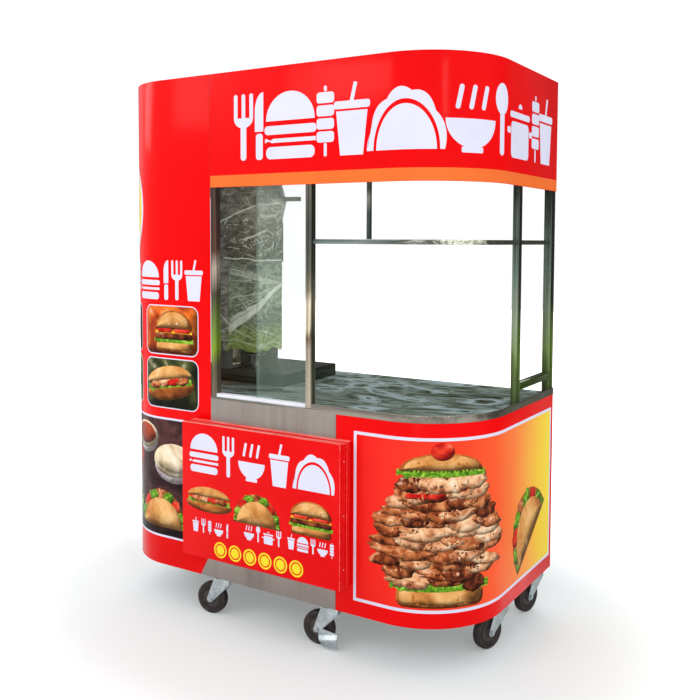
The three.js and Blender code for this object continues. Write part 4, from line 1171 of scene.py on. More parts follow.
def bun_stack(width, height, seed):
    """A filled bun seen from the side."""
    chance = random.Random(seed)
    food = Drawing(width, height)
    food.slab(-0.92, 0.92, 0, 0.24, 0.10, "crust", 1)
    food.slab(-0.86, 0.86, 0.05, 0.22, 0.07, "bread", 2)
    food.frill(1.0, 0.22, 0.32, 0.035, 6, seed, "leaf", 3)
    food.slab(-0.95, 0.95, 0.30, 0.45, 0.06, "char", 4)
    food.frill(0.93, 0.43, 0.50, 0.018, 3, seed + 1, "cheese", 3)
    food.slab(-0.80, -0.08, 0.46, 0.56, 0.04, "tomato", 4)
    food.slab(0.06, 0.84, 0.46, 0.56, 0.04, "tomato", 4)
    food.disc(0.54, 0.94, 0.46, "crust", 2)
    food.disc(0.58, 0.82, 0.38, "bread", 5)
    for count in range(14):
        x = chance.uniform(-0.6, 0.6)
        z = 0.66 + chance.uniform(0, 0.26) * (1 - x ** 2)
        food.add(disc(x * width / 2, z * height, width * 0.016, width * 0.010, steps=8), "sauce", 5.4)
    return food.shapes


def flatbread(width, height, seed):
    """A folded flatbread with its filling showing along the top."""
    food = Drawing(width, height)
    food.disc(0, 1, 0.86, "crust", 1)
    food.frill(0.96, 0.03, 0.16, 0.03, 5, seed, "leaf", 1.5)
    for index in range(7):
        turn = math.radians(22 + index * 22.5)
        look = ("leaf", "tomato", "leaf", "roast")[index % 4]
        x, z = 0.82 * math.cos(turn), 0.74 * math.sin(turn)
        food.blob(x, z, 0.20, 0.13, 0.35, seed + index, look, 2 + index % 3)
    food.disc(0, 0.84, 0.66, "bread", 5)
    return food.shapes


def long_loaf(width, height, seed):
    """A long filled loaf."""
    food = Drawing(width, height)
    food.disc(0.30, 1, 0.30, "crust", 1, 0, 360)
    food.frill(0.90, 0.34, 0.52, 0.06, 7, seed, "leaf", 2)
    food.blob(-0.52, 0.48, 0.28, 0.12, 0.3, seed, "roast", 2.5)
    food.blob(-0.14, 0.50, 0.26, 0.13, 0.3, seed + 1, "slice", 2.8)
    food.blob(0.22, 0.49, 0.28, 0.12, 0.3, seed + 2, "tomato", 3.1)
    food.blob(0.56, 0.48, 0.26, 0.12, 0.3, seed + 3, "roast", 3.4)
    food.disc(0.52, 0.96, 0.44, "bread", 4, 8, 172)
    return food.shapes


def skewer(length, thick, seed, chunks=6):
    """Pieces of meat and pepper on a stick, lying along the first axis."""
    food = Drawing(length, thick)
    food.slab(-1, 1, -0.06, 0.06, 0, "board", 1)
    pitch = 1.64 / chunks
    for index in range(chunks):
        look = ("roast", "pepper", "char", "tomato")[index % 4]
        x = -0.82 + pitch * (index + 0.5)
        food.blob(x, 0, pitch * 0.50, 0.5, 0.22, seed + index, look, 2 + 0.3 * (index % 2))
    return food.shapes


def bowl_of(radius, look, seed):
    """A bowl seen from above at a slant."""
    food = Drawing(2 * radius, radius)
    food.disc(-0.18, 0.96, 0.66, "onion", 1, 0, 360)
    food.disc(0, 1, 0.62, "sauce", 2, 0, 360)
    food.add(blob(0, 0.004, radius * 0.84, radius * 0.48, 0.06, seed), look, 3)
    return food.shapes


def tomato_half(radius, seed):
    food = Drawing(2 * radius, radius)
    food.disc(0, 1, 1, "tomato", 1, 0, 360)
    food.blob(0, 0, 0.80, 0.80, 0.12, seed, "ember", 2)
    food.disc(0, 0.34, 0.34, "tomato", 3, 0, 360)
    return food.shapes


def herb(reach):
    """A sprig of leaves."""
    food = Drawing(reach, reach)
    for index in range(5):
        leaf = disc(reach * 0.55, 0, reach * 0.48, reach * 0.16)
        food.add(turned(leaf, 0, 0, 30 + index * 30), "leaf" if index % 2 else "pepper", 1 + 0.2 * index)
    return food.shapes


TOWER_SHARES = (0.74, 0.88, 0.96, 1.0, 0.98, 0.93, 0.90, 0.84, 0.78, 0.74, 0.68)
TOWER_LOOKS = ("roast", "roast", "slice", "slice", "char")


def food_tower(width, height, seed):
    """A tall stack of roast pieces between two small buns, with leaves and a tomato on top."""
    chance = random.Random(seed)
    pitch = height * 0.66 / len(TOWER_SHARES)
    food = Drawing(width, height)
    food.blob(0, 0.47, 0.84, 0.35, 0.10, seed, "char", 1.2, 60)
    food.slab(-0.66, 0.66, 0.0, 0.12, 0.05, "crust", 1.4)
    food.slab(-0.61, 0.61, 0.02, 0.11, 0.035, "bread", 1.6)
    food.frill(0.76, 0.10, 0.15, 0.012, 7, seed, "leaf", 1.8)
    layer = 2.0
    for index, reach in enumerate(TOWER_SHARES):
        z = height * 0.165 + pitch * index
        for count in range(5):
            x = food.half * reach * (0.37 * count - 0.74 + chance.uniform(-0.10, 0.10))
            look = chance.choice(TOWER_LOOKS)
            tilt = chance.uniform(-14, 14)
            wide = food.half * reach * chance.uniform(0.24, 0.42)
            high = pitch * chance.uniform(0.62, 0.98)
            level = z + chance.uniform(-0.35, 0.35) * pitch
            own = blob(x, level, wide, high, 0.24, seed + index * 5 + count, 48)
            food.add(turned(own, x, z, tilt), look, layer)
            layer += 0.044
    food.slab(-0.52, 0.05, 0.665, 0.70, 0.016, "tomato", 4.5)
    food.frill(0.66, 0.80, 0.84, 0.012, 6, seed + 5, "leaf", 4.6)
    food.disc(0.83, 0.62, 0.115, "crust", 4.8)
    food.disc(0.842, 0.55, 0.095, "bread", 5.1)
    food.disc(0.955, 0.17, 0.055, "tomato", 5.5, 0, 360)
    return food.shapes


# Geometry Nodes


class Tree(Nodes):
    """A Geometry Nodes tree with named inputs, which ends in real faces with one finish."""

    def __init__(self, name, inputs):
        tree = bpy.data.node_groups.new(name, "GeometryNodeTree")
        super().__init__(tree)
        shared = {"Sides": "NodeSocketInt", "Finish": "NodeSocketMaterial"}
        inputs = {"Geometry": "NodeSocketGeometry", **inputs, **shared}
        for label, kind in inputs.items():
            tree.interface.new_socket(label, in_out="INPUT", socket_type=kind)
        tree.interface.new_socket("Geometry", in_out="OUTPUT", socket_type="NodeSocketGeometry")
        self.source = tree.nodes.new("NodeGroupInput")
        self.sink = tree.nodes.new("NodeGroupOutput")

    def given(self, label):
        return Wire(self, self.source.outputs[label])

    def close(self, geometry):
        real = self.node("GeometryNodeRealizeInstances", {}, {"Geometry": geometry})
        smooth = self.node("GeometryNodeSetShadeSmooth", {}, {"Geometry": real})
        paint = {"Geometry": smooth, "Material": self.given("Finish")}
        painted = self.node("GeometryNodeSetMaterial", {}, paint)
        self.plug(self.sink.inputs["Geometry"], painted)
        return self.tree


def rivet_tree():
    """A domed head on every point, turned to face the way that the point's attribute says."""
    made = Tree("rivet_tree", {"Head Radius": "NodeSocketFloat", "Head Share": "NodeSocketFloat"})
    ball = {"Segments": made.given("Sides"), "Rings": 6, "Radius": made.given("Head Radius")}
    head = made.node("GeometryNodeMeshUVSphere", {}, ball)
    squash = made.node("ShaderNodeCombineXYZ", {}, {"X": 1.0, "Y": 1.0, "Z": made.given("Head Share")})
    dome = made.node("GeometryNodeTransform", {}, {"Geometry": head, "Scale": squash})
    facing = made.node("GeometryNodeInputNamedAttribute", {"data_type": "FLOAT_VECTOR"}, {"Name": "facing"})
    turn = made.node("FunctionNodeAlignRotationToVector", {"axis": "Z"}, {"Vector": facing})
    spread = {"Points": made.given("Geometry"), "Instance": dome, "Rotation": turn}
    return made.close(made.node("GeometryNodeInstanceOnPoints", {}, spread))


def rod_tree():
    """A round rod along every edge of a net of lines."""
    made = Tree("rod_tree", {"Rod Radius": "NodeSocketFloat"})
    line = made.node("GeometryNodeMeshToCurve", {}, {"Mesh": made.given("Geometry")})
    circle = {"Resolution": made.given("Sides"), "Radius": made.given("Rod Radius")}
    ring = made.node("GeometryNodeCurvePrimitiveCircle", {"mode": "RADIUS"}, circle)
    sweep = {"Curve": line, "Profile Curve": ring, "Fill Caps": True}
    return made.close(made.node("GeometryNodeCurveToMesh", {}, sweep))


def grow(name, mesh, tree_maker, inputs, body):
    """Runs a Geometry Nodes tree on a mesh and keeps its result as a plain zinc-plated piece."""
    tree = bpy.data.node_groups.get(tree_maker.__name__) or tree_maker()
    piece = link(name, mesh)
    modifier = piece.modifiers.new("grow", "NODES")
    modifier.node_group = tree
    inputs = {**inputs, "Finish": finish("zinc")}
    for item in tree.interface.items_tree:
        if item.in_out == "INPUT" and item.name in inputs:
            modifier[item.identifier] = inputs[item.name]
    settle(piece)
    seat(piece, body)


def rivets(name, places, radius, share, body="cart"):
    """Rivet or screw heads at the given places. A place is a point and the way that it faces."""
    mesh = bpy.data.meshes.new(name)
    mesh.from_pydata([point for point, facing in places], [], [])
    facings = mesh.attributes.new("facing", "FLOAT_VECTOR", "POINT")
    facings.data.foreach_set("vector", [value for point, facing in places for value in facing])
    grow(name, mesh, rivet_tree, {"Head Radius": radius, "Head Share": share, "Sides": 14}, body)


def rods(name, lines, radius):
    """Round rods along lines, each a pair of points."""
    mesh = bpy.data.meshes.new(name)
    points = [point for line in lines for point in line]
    mesh.from_pydata(points, [(2 * index, 2 * index + 1) for index in range(len(lines))], [])
    grow(name, mesh, rod_tree, {"Rod Radius": radius, "Sides": 8}, "cart")


# Skins and their prints

COLUMN_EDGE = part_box("left_skin")[1].x
COLUMN_END = front_station(COLUMN_EDGE)
SKIRT_START = front_station(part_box("right_skirt")[0].x)
SKIN_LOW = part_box("right_skirt")[0].z
SKIN_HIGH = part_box("right_skirt")[1].z
CANOPY_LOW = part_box("canopy_fascia")[0].z
CANOPY_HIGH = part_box("canopy_fascia")[1].z
FOOT_LENGTH = 0.053
FOOT_HEIGHT = 0.099
WINDOW_LOW = 0.850
WINDOW_END = 0.320
SKIN_GAP = 0.0006
INNER_BAND = 0.001
STRIPE_TOP = 1.636
STRIPE_START_GAP = 0.002
STRIPE_MARGIN = 0.001

# The printed frame on the right skirt, in stations and heights
PANEL_LEFT = 1.792
PANEL_RIGHT = 2.832
PANEL_LOW = 0.206
PANEL_HIGH = 0.778
PANEL_MIDDLE = (PANEL_LOW + PANEL_HIGH) / 2
LINE = 0.0105
TOWER = (2.105, PANEL_LOW + 0.017)
TOWER_SIZE = (0.46, 0.535)

# The pictures on the left column
TILE_RIM = 0.004
TILE_RADIUS = 0.034
TILE_COLUMNS = ((0.505, 0.785), (0.832, 1.112))
TILE_ROWS = ((0.764, 0.957), (0.969, 1.158))
EMBLEM = (0.600, 1.53)
EMBLEM_RINGS = ((0.205, "print_white", 0.6), (0.185, "print_yellow", 1.2), (0.140, "print_orange", 1.8))
EMBLEM_SIGN = (0.600, 1.450, 0.165)
PICTURE_LEFT = 0.03
PICTURE_RIGHT = 1.150
PICTURE_LOW = 0.262
PICTURE_HIGH = 0.728
PICTURE_LINE = 0.008

# What lies on the printed table: the drawing, its sizes, its place and its layer
TABLE_FOODS = (
    (bowl_of, (0.105, "sauce", 2.0), 0.985, 0.565, 1),
    (bowl_of, (0.085, "ember", 5.0), 0.820, 0.650, 0.5),
    (tomato_half, (0.052, 1.0), 0.700, 0.590, 1),
    (tomato_half, (0.045, 3.0), 0.755, 0.545, 1.6),
    (flatbread, (0.26, 0.17, 12.0), 0.915, 0.300, 1),
    (herb, (0.10,), 0.735, 0.31, 1),
    (bowl_of, (0.10, "leaf", 8.0), 0.520, 0.50, 1),
    (long_loaf, (0.34, 0.15, 15.0), 0.290, 0.33, 1),
    (bowl_of, (0.08, "tomato", 9.0), 0.330, 0.62, 1),
    (tomato_half, (0.05, 8.0), 0.160, 0.56, 1),
    (herb, (0.09,), 0.130, 0.40, 1),
)


def build_skins():
    window = (0.0, WINDOW_END, WINDOW_LOW, CANOPY_LOW)
    foot = ((COLUMN_EDGE - FOOT_LENGTH, SKIN_LOW), (COLUMN_EDGE, SKIN_LOW + FOOT_HEIGHT))
    curved_skin("left_skin", 0.0, COLUMN_END, SKIN_LOW, CANOPY_HIGH, window, foot)
    curved_skin("right_skirt", SKIRT_START, RIGHT_END, SKIN_LOW, SKIN_HIGH)
    curved_skin("canopy_fascia", COLUMN_END + SKIN_GAP, RIGHT_END, CANOPY_LOW, CANOPY_HIGH)
    rear = dress("rear_fascia", "red_vinyl")
    inner_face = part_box("rear_fascia")[0].y + INNER_BAND
    assign_faces(rear, "panel_back", lambda middle, normal: middle.y < inner_face)


def border(x0, x1, z0, z1, width, look, layer):
    """A frame of four bars."""
    bars = (
        (x0, x1, z0, z0 + width), (x0, x1, z1 - width, z1),
        (x0, x0 + width, z0 + width, z1 - width), (x1 - width, x1, z0 + width, z1 - width),
    )
    return [(slab(*each), look, layer) for each in bars]


def build_canopy_print():
    start, end = COLUMN_END + STRIPE_START_GAP, RIGHT_END - STRIPE_MARGIN
    stripe = slab(start, end, CANOPY_LOW + STRIPE_MARGIN, STRIPE_TOP)
    wrapped_print("canopy_stripe", [(stripe, "print_orange", 1)])
    names = "fork knife bun skewer cup taco bowl spoon pot skewer cup"
    wrapped_print("canopy_signs", sign_row(names, 1.285, 2.79, 1.684, 0.232))


def build_panel_print():
    panel = (PANEL_LEFT, PANEL_RIGHT, PANEL_LOW, PANEL_HIGH)
    shapes = [(slab(*panel), "panel_gradient", 0.5)]
    shapes += border(*panel, LINE, "print_white", 1)
    shapes += shifted(food_tower(*TOWER_SIZE, 5.0), *TOWER)
    shapes += shifted(tilted(flatbread(0.33, 0.23, 9.0), 38), 2.64, 0.335, 1.0, 0.5)
    wrapped_print("skirt_print", shapes)


def tile(column, row, look, drawing):
    """A rounded picture with a white edge."""
    (x0, x1), (z0, z1) = TILE_COLUMNS[column], TILE_ROWS[row]
    rim = TILE_RIM
    shapes = [
        (slab(x0, x1, z0, z1, TILE_RADIUS), "print_white", 0.6),
        (slab(x0 + rim, x1 - rim, z0 + rim, z1 - rim, TILE_RADIUS - rim), look, 1.2),
    ]
    return shapes + shifted(drawing, (x0 + x1) / 2, (z0 + z1) / 2, 1.0, 1)


def build_column_print():
    skewers = shifted(tilted(skewer(0.24, 0.044, 4.0), 18), 0, 0.035)
    skewers += shifted(tilted(skewer(0.24, 0.044, 7.0), 18), 0.01, -0.03, 1.0, 1)
    shapes = tile(1, 1, "print_ember", shifted(bun_stack(0.20, 0.158, 3.0), 0.015, -0.082))
    shapes += tile(1, 0, "print_moss", shifted(tilted(long_loaf(0.255, 0.135, 6.0), 9), 0, -0.062))
    shapes += tile(0, 1, "print_plum", shifted(flatbread(0.22, 0.15, 8.0), 0, -0.055))
    shapes += tile(0, 0, "print_pepper", skewers)
    wrapped_print("column_tiles", shapes)
    wrapped_print("column_signs", sign_row("spoon pot skewer bun knife fork cup", 0.500, 1.135, 1.178, 0.150))
    emblem = shifted(sign("bun", 2.4), *EMBLEM_SIGN)
    for radius, look, layer in EMBLEM_RINGS:
        emblem.append((disc(*EMBLEM, radius), look, layer))
    wrapped_print("column_emblem", emblem)
    left, right, low, high = PICTURE_LEFT, PICTURE_RIGHT, PICTURE_LOW, PICTURE_HIGH
    table = [
        (slab(left, right, low, high), "print_plum", 0.5),
        (slab(left, right, high - PICTURE_LINE, high), "print_white", 1.2),
        (slab(left, right, low, low + PICTURE_LINE), "print_white", 1.2),
    ]
    for draw, given, x, z, layer in TABLE_FOODS:
        table += shifted(draw(*given), x, z, 1.0, layer)
    wrapped_print("column_picture", table)


# The light box

BOX_EDGE = 0.0020
BOX_FRONT_EDGE = 0.0028
BOX_LAYERS = 6
COINS = 6
COIN = 0.029
COIN_LEVEL = 0.297
COIN_START = -0.187
COIN_RUN = 0.392
COIN_RINGS = ((1.0, "print_yellow", 1), (0.78, "light_box_acrylic", 1.5), (0.62, "print_yellow", 2))

# Rows of signs: names, start, end, level and height
BOX_HEADING = ("bun fork bowl cup taco", -0.304, 0.329, 0.566, 0.146)
BOX_ROWS = (
    ("cup fork skewer bowl knife", -0.290, -0.120, 0.346, 0.052),
    ("bowl spoon pot fork", -0.050, 0.113, 0.358, 0.056),
    ("cup bun fork bowl skewer", 0.139, 0.329, 0.360, 0.052),
)


def catches_light(middle, normal):
    """Whether a face of the light box looks up, or lies on an upright edge."""
    return normal.z > 0.6 or abs(normal.x) > 0.3 and abs(normal.y) > 0.3


def build_light_box():
    for node in ("light_box_tray", "light_box_frame"):
        piece = dress(node, "light_box_acrylic", BOX_EDGE, 3)
        # The top and upright edges take a painted highlight
        assign_faces(piece, "light_box_edge", catches_light)
    low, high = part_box("light_box_face")
    face = low.y + BOX_LAYERS * sizes().layer
    shell = bmesh.new()
    bmesh.ops.create_cube(shell, size=1.0)
    for vertex in shell.verts:
        vertex.co.x = low.x if vertex.co.x < 0 else high.x
        vertex.co.y = face if vertex.co.y < 0 else high.y
        vertex.co.z = low.z if vertex.co.z < 0 else high.z
    front = add_piece("light_box_front", to_mesh("light_box_front", shell), ["light_box_acrylic"])
    round_edges(front, BOX_FRONT_EDGE, 3)
    settle(front)
    # The top and upright edges take a painted highlight
    assign_faces(front, "light_box_edge", catches_light)
    seat(front, node="light_box_face")
    build_light_box_print(face)


def build_light_box_print(face):
    """White signs over three foods with their small signs, and a row of coins."""
    shapes = sign_row(*BOX_HEADING)
    shapes += shifted(long_loaf(0.214, 0.096, 21.0), -0.2115, 0.424)
    shapes += shifted(flatbread(0.207, 0.128, 23.0), 0.0055, 0.414)
    shapes += shifted(bun_stack(0.178, 0.118, 27.0), 0.236, 0.418)
    for row in BOX_ROWS:
        shapes += sign_row(*row)
    for index in range(COINS):
        x = COIN_START + COIN + (COIN_RUN - 2 * COIN) * index / (COINS - 1)
        shapes += [(disc(x, COIN_LEVEL, COIN * share), look, layer) for share, look, layer in COIN_RINGS]
    printed("light_box_print", shapes, lambda x, lift, z: Vector((x, face - lift, z)))


# Steelwork, counter, doors and hatch

FINE_EDGE = 0.0006
KNOB_EDGE = 0.0015
HANDLE_EDGE = 0.002
DECK_DROP = 0.0003
DECK_BAND = 0.0002

STEELWORK = {
    "inner_sheet": (
        "base_rail_front", "base_rail_rear", "base_cross_rail", "cabinet_floor", "roof_panel", "roof_bow",
    ),
    "panel_steel": ("front_panel", "rear_stile"),
    "jamb_post_steel": ("jamb_post",),
    "rail_steel": ("serving_rail", "side_rail_upper"),
    "low_rail_steel": ("side_rail_lower",),
    "hanger_steel": ("rail_hanger",),
}
# Posts, with the finish of the faces that are turned to the right, which is painted shade; the rear left post
# is painted in shade all over
POSTS = {
    "front_post": ("front_post_steel", "front_post_shade"),
    "side_post": ("side_post_steel", "side_post_shade"),
    "rear_right_post": ("side_post_steel", "side_post_shade"),
    "rear_left_post": ("front_post_shade", "front_post_shade"),
}


def build_steelwork():
    for look, nodes in STEELWORK.items():
        for node in nodes:
            dress(node, look)
    for node, (look, right_look) in POSTS.items():
        # Faces turned to the right take the painted shade finish
        assign_faces(dress(node, look), right_look, lambda middle, normal: normal.x > 0.5)


def build_counter():
    deck = dress("counter_top", "lip_steel")
    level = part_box("jamb_post")[0].z - DECK_DROP
    def on_deck(middle, normal):
        return abs(middle.z - level) < DECK_BAND and normal.z > 0.9
    assign_faces(deck, "deck_steel", on_deck)


def build_doors():
    for side in ("left", "right"):
        dress("rear_door_" + side, "door_steel")
        dress("door_handle_" + side, "lip_steel", HANDLE_EDGE, 3)


def build_hatch():
    for node in ("track_bottom", "track_top"):
        dress(node, "white_track")
    for side in ("outer", "inner"):
        pane = dress("glass_pane_" + side, "green_glass", FINE_EDGE)
        assign_faces(pane, "glass_edge", lambda middle, normal: abs(normal.y) < 0.5)


# The grill

GRILL = {
    "grill_base_steel": ("grill_base", "drip_tray"),
    "grill_steel": ("grill_arm", "grill_hood", "grill_housing"),
    "mast_steel": ("grill_mast_front", "grill_mast_rear", "spit"),
}
HOUSING_CUT_X = -0.335
HOUSING_CUT_Y = 0.076
GUARD_GAPS = 12
GUARD_INSET = 0.004
GUARD_RADIUS = 0.0012


def build_grill():
    for look, nodes in GRILL.items():
        for node in nodes:
            mesh = housing_mesh() if node == "grill_housing" else None
            dress(node, look, mesh=mesh)
    dress("grill_burner", "ceramic")
    for side in ("left", "right"):
        dress("grill_knob_" + side, "black_plastic", KNOB_EDGE, 3)
    low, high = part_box("grill_burner")
    x = high.x - GUARD_INSET
    lines = []
    for step in range(1, GUARD_GAPS):
        z = low.z + (high.z - low.z) * step / GUARD_GAPS
        lines.append(((x, low.y + GUARD_INSET, z), (x, high.y - GUARD_INSET, z)))
    rods("burner_guard", lines, GUARD_RADIUS)


def housing_mesh():
    """The motor housing, with its rear right corner slanted as the film drawn tight round it shows."""
    node = "grill_housing"
    shell = bmesh.new()
    shell.from_mesh(merged_copy(node))
    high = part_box(node)[1]
    cut(shell, (high.x, HOUSING_CUT_Y, 0), (high.y - HOUSING_CUT_Y, high.x - HOUSING_CUT_X, 0), clear=True)
    bmesh.ops.holes_fill(shell, edges=[edge for edge in shell.edges if edge.is_boundary])
    return to_mesh(node, shell)


# Film round the grill

FILM_BOTTOM = 0.962
FILM_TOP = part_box("grill_housing")[1].z + 0.004
FILM_ROOM = 0.006
FILM_TIGHT = 0.002
FILM_CORNER_ROOM = 0.003
FILM_REAR_ROOM = 0.008
FILM_PULL = 0.010
HEM_DEPTH = 0.022
ARM_BULGE = 0.062
ARM_BULGE_WIDTH = 0.10
ARM_BULGE_ABOVE = 0.075
ARM_BULGE_BELOW = 0.130


def film_section(low, high):
    """Corners of the wrapped film in plan, with the housing's slanted rear corner."""
    return (
        Vector((low.x - FILM_ROOM, low.y - FILM_ROOM)),
        Vector((high.x + FILM_TIGHT, low.y - FILM_ROOM)),
        Vector((high.x + FILM_TIGHT, HOUSING_CUT_Y + FILM_CORNER_ROOM)),
        Vector((HOUSING_CUT_X, high.y + FILM_REAR_ROOM)),
        Vector((low.x - FILM_ROOM, high.y + FILM_REAR_ROOM)),
    )


# The fan of creases from the film's right edge: the height of their far ends and their strength
FAN = (
    (0.098, 0.65), (0.112, 0.80), (0.124, 0.95), (0.137, 0.90), (0.150, 0.85), (0.166, 0.70), (0.185, 0.60),
)

# Creases of the film as shares of its girth and height: start, end, width, strength
FILM_CREASES = (
    *((0.466, 0.378, 0.090, end, 0.0075, strength) for end, strength in FAN),
    (0.466, 0.375, 0.090, 0.130, 0.034, 0.50), (0.466, 0.380, 0.096, 0.176, 0.0062, 0.94),
    (0.466, 0.368, 0.103, 0.113, 0.0062, 0.94), (0.459, 0.360, 0.226, 0.206, 0.0060, 0.60),
    (0.466, 0.384, 0.097, 0.455, 0.026, 0.40), (0.466, 0.384, 0.097, 0.473, 0.0100, 0.55),
    (0.459, 0.380, 0.097, 0.445, 0.0062, 0.68), (0.459, 0.386, 0.107, 0.490, 0.0047, 0.68),
    (0.427, 0.385, 0.104, 0.405, 0.0047, 0.61), (0.466, 0.370, 0.090, 0.301, 0.0062, 0.68),
    (0.374, 0.345, 0.128, 0.225, 0.0047, 0.68), (0.320, 0.330, 0.118, 0.250, 0.0047, 0.68),
    (0.044, 0.397, 0.265, 0.186, 0.0047, 0.74), (0.110, 0.354, 0.309, 0.197, 0.0047, 0.61),
    (0.022, 0.212, 0.109, 0.131, 0.0062, 0.81), (0.090, 0.136, 0.029, 0.103, 0.0070, 0.60),
    (0.101, 0.200, 0.459, 0.060, 0.0047, 0.68), (0.118, 0.170, 0.459, 0.035, 0.0047, 0.61),
    (0.214, 0.190, 0.461, 0.095, 0.0047, 0.54), (0.101, 0.120, 0.256, 0.070, 0.0047, 0.68),
    (0.019, 0.735, 0.138, 0.791, 0.0060, 0.85), (0.138, 0.791, 0.254, 0.828, 0.0100, 0.80),
    (0.254, 0.828, 0.375, 0.850, 0.0120, 0.60), (0.021, 0.728, 0.160, 0.800, 0.0047, 0.81),
    (0.058, 0.530, 0.466, 0.519, 0.0062, 0.94), (0.091, 0.520, 0.094, 0.020, 0.0047, 0.68),
    (0.011, 0.060, 0.466, 0.030, 0.0060, 0.60), (0.299, 0.770, 0.385, 0.780, 0.0220, 0.55),
    (0.192, 0.640, 0.331, 0.690, 0.0120, 0.75), (0.246, 0.610, 0.353, 0.640, 0.0080, 0.55),
    (0.060, 0.990, 0.459, 0.975, 0.0062, 0.68), (0.043, 0.900, 0.320, 0.915, 0.0047, 0.54),
    (0.513, 0.300, 0.769, 0.620, 0.0080, 0.80), (0.534, 0.800, 0.801, 0.400, 0.0060, 0.70),
    (0.855, 0.200, 0.990, 0.550, 0.0060, 0.70), (0.555, 0.140, 0.990, 0.230, 0.0050, 0.60),
    (0.598, 0.900, 0.961, 0.860, 0.0050, 0.60),
)

# Where the film is crumpled: shares of girth and height, and the number of small creases
CRUMPLES = (
    (0.048, 0.465, 0.535, 0.745, 190),
    (0.105, 0.465, 0.400, 0.530, 34),
    (0.100, 0.465, 0.030, 0.340, 44),
    (0.020, 0.465, 0.780, 0.990, 34),
    (0.490, 0.980, 0.050, 0.960, 170),
)


def small_creases():
    """Short creases strewn over the crumpled parts."""
    chance = random.Random(11)
    creases = []
    for left, right, low, high, count in CRUMPLES:
        for index in range(count):
            x, z = chance.uniform(left, right), chance.uniform(low, high)
            turn = chance.uniform(0, math.pi)
            reach = chance.uniform(0.014, 0.060)
            width, strength = chance.uniform(0.0030, 0.0044), chance.uniform(0.20, 0.95) ** 1.4
            creases.append((x, z, x + reach * math.cos(turn), z + reach * math.sin(turn), width, strength))
    return creases


def crease_grid(columns, rows):
    """How strongly the film is creased at each point of its grid."""
    grid = [[0.0] * columns for row in range(rows + 1)]
    for x0, z0, x1, z1, width, strength in [*FILM_CREASES, *small_creases()]:
        run_x, run_z = x1 - x0, z1 - z0
        square = run_x * run_x + run_z * run_z
        room = width + 0.010
        first = max(0, math.floor((min(z0, z1) - room) * rows))
        last = min(rows, math.ceil((max(z0, z1) + room) * rows))
        left = math.floor((min(x0, x1) - room) * columns)
        right = math.ceil((max(x0, x1) + room) * columns)
        for row in range(first, last + 1):
            for column in range(left, right + 1):
                x, z = column / columns - x0, row / rows - z0
                along = max(0.0, min(1.0, (x * run_x + z * run_z) / square))
                wander = 0.007 * noise.noise((along * 5, z0 * 9, x1 * 11)) * math.sqrt(square) / 0.3
                away = math.hypot(x - run_x * along, z - run_z * along + wander)
                here = strength * (1 - away / width)
                if here > grid[row][column % columns]:
                    grid[row][column % columns] = here
    return grid


def film_point(corners, lengths, share, rise):
    """A point of the smooth film, which pulls in between its corners, and the way that it faces."""
    run = share % 1.0 * sum(lengths)
    side = 0
    while run > lengths[side] and side < len(corners) - 1:
        run -= lengths[side]
        side += 1
    a, b = corners[side], corners[(side + 1) % len(corners)]
    along = run / lengths[side]
    outwards = Vector(((b - a).y, -(b - a).x)).normalized()
    slack = math.sin(math.pi * min(1.0, rise / 0.62)) if rise < 0.62 else 0.0
    return a.lerp(b, along) - outwards * FILM_PULL * math.sin(math.pi * along) * slack, outwards


def arm_bulge(y, z):
    """How far the film is pushed out where it passes over the arm."""
    low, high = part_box("grill_arm")
    near_y = 1 - abs(y - (low.y + high.y) / 2) / ARM_BULGE_WIDTH
    reach = ARM_BULGE_ABOVE if z > high.z else ARM_BULGE_BELOW
    near_z = 1 - abs(z - (low.z + high.z) / 2) / reach
    return ARM_BULGE * max(0.0, near_y) * max(0.0, near_z) ** 1.5


def crumple(share, rise):
    """Fine wrinkles all over the film."""
    broad = abs(noise.noise((share * 26, rise * 20, 1.0)))
    return broad + 0.5 * abs(noise.noise((share * 60, rise * 46, 4.0)))


def wrinkled_point(corners, lengths, share, rise, crease):
    """A point of the wrinkled film, whose lower hem wanders."""
    hem = HEM_DEPTH * noise.noise((share * 19, 0.3, 8.0)) * (1 - rise) ** 7
    z = FILM_BOTTOM + (FILM_TOP - FILM_BOTTOM) * rise + hem
    flat, outwards = film_point(corners, lengths, share, rise)
    depth = 0.5 * crease + 0.5 * crumple(share, rise)
    point = flat + outwards * sizes().film_depth * depth
    if outwards.x > 0.5:
        point.x += arm_bulge(flat.y, z)
    return (point.x, point.y, z)


def build_grill_film():
    corners = film_section(*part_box("grill_housing"))
    lengths = [(after - corner).length for corner, after in sides(corners)]
    girth = sum(lengths)
    height = FILM_TOP - FILM_BOTTOM
    columns = round(girth / sizes().film_cell)
    rows = round(height / sizes().film_cell)
    creases = crease_grid(columns, rows)
    shell = bmesh.new()
    grid, strengths = [], []
    for row in range(rows + 1):
        line = []
        for column in range(columns):
            crease = creases[row][column]
            spot = wrinkled_point(corners, lengths, column / columns, row / rows, crease)
            line.append(shell.verts.new(spot))
            strengths.append(min(1.0, crease))
        grid.append(line)
    for row in range(rows):
        for column in range(columns):
            after = (column + 1) % columns
            low, high = grid[row], grid[row + 1]
            shell.faces.new((low[column], low[after], high[after], high[column]))
    mesh = to_mesh("grill_film", shell)
    mesh.attributes.new(CREASE, "FLOAT", "POINT").data.foreach_set("value", strengths)
    piece = add_piece("grill_film", mesh, ["wrap_film"])
    settle(piece)
    seat(piece)


# Casters

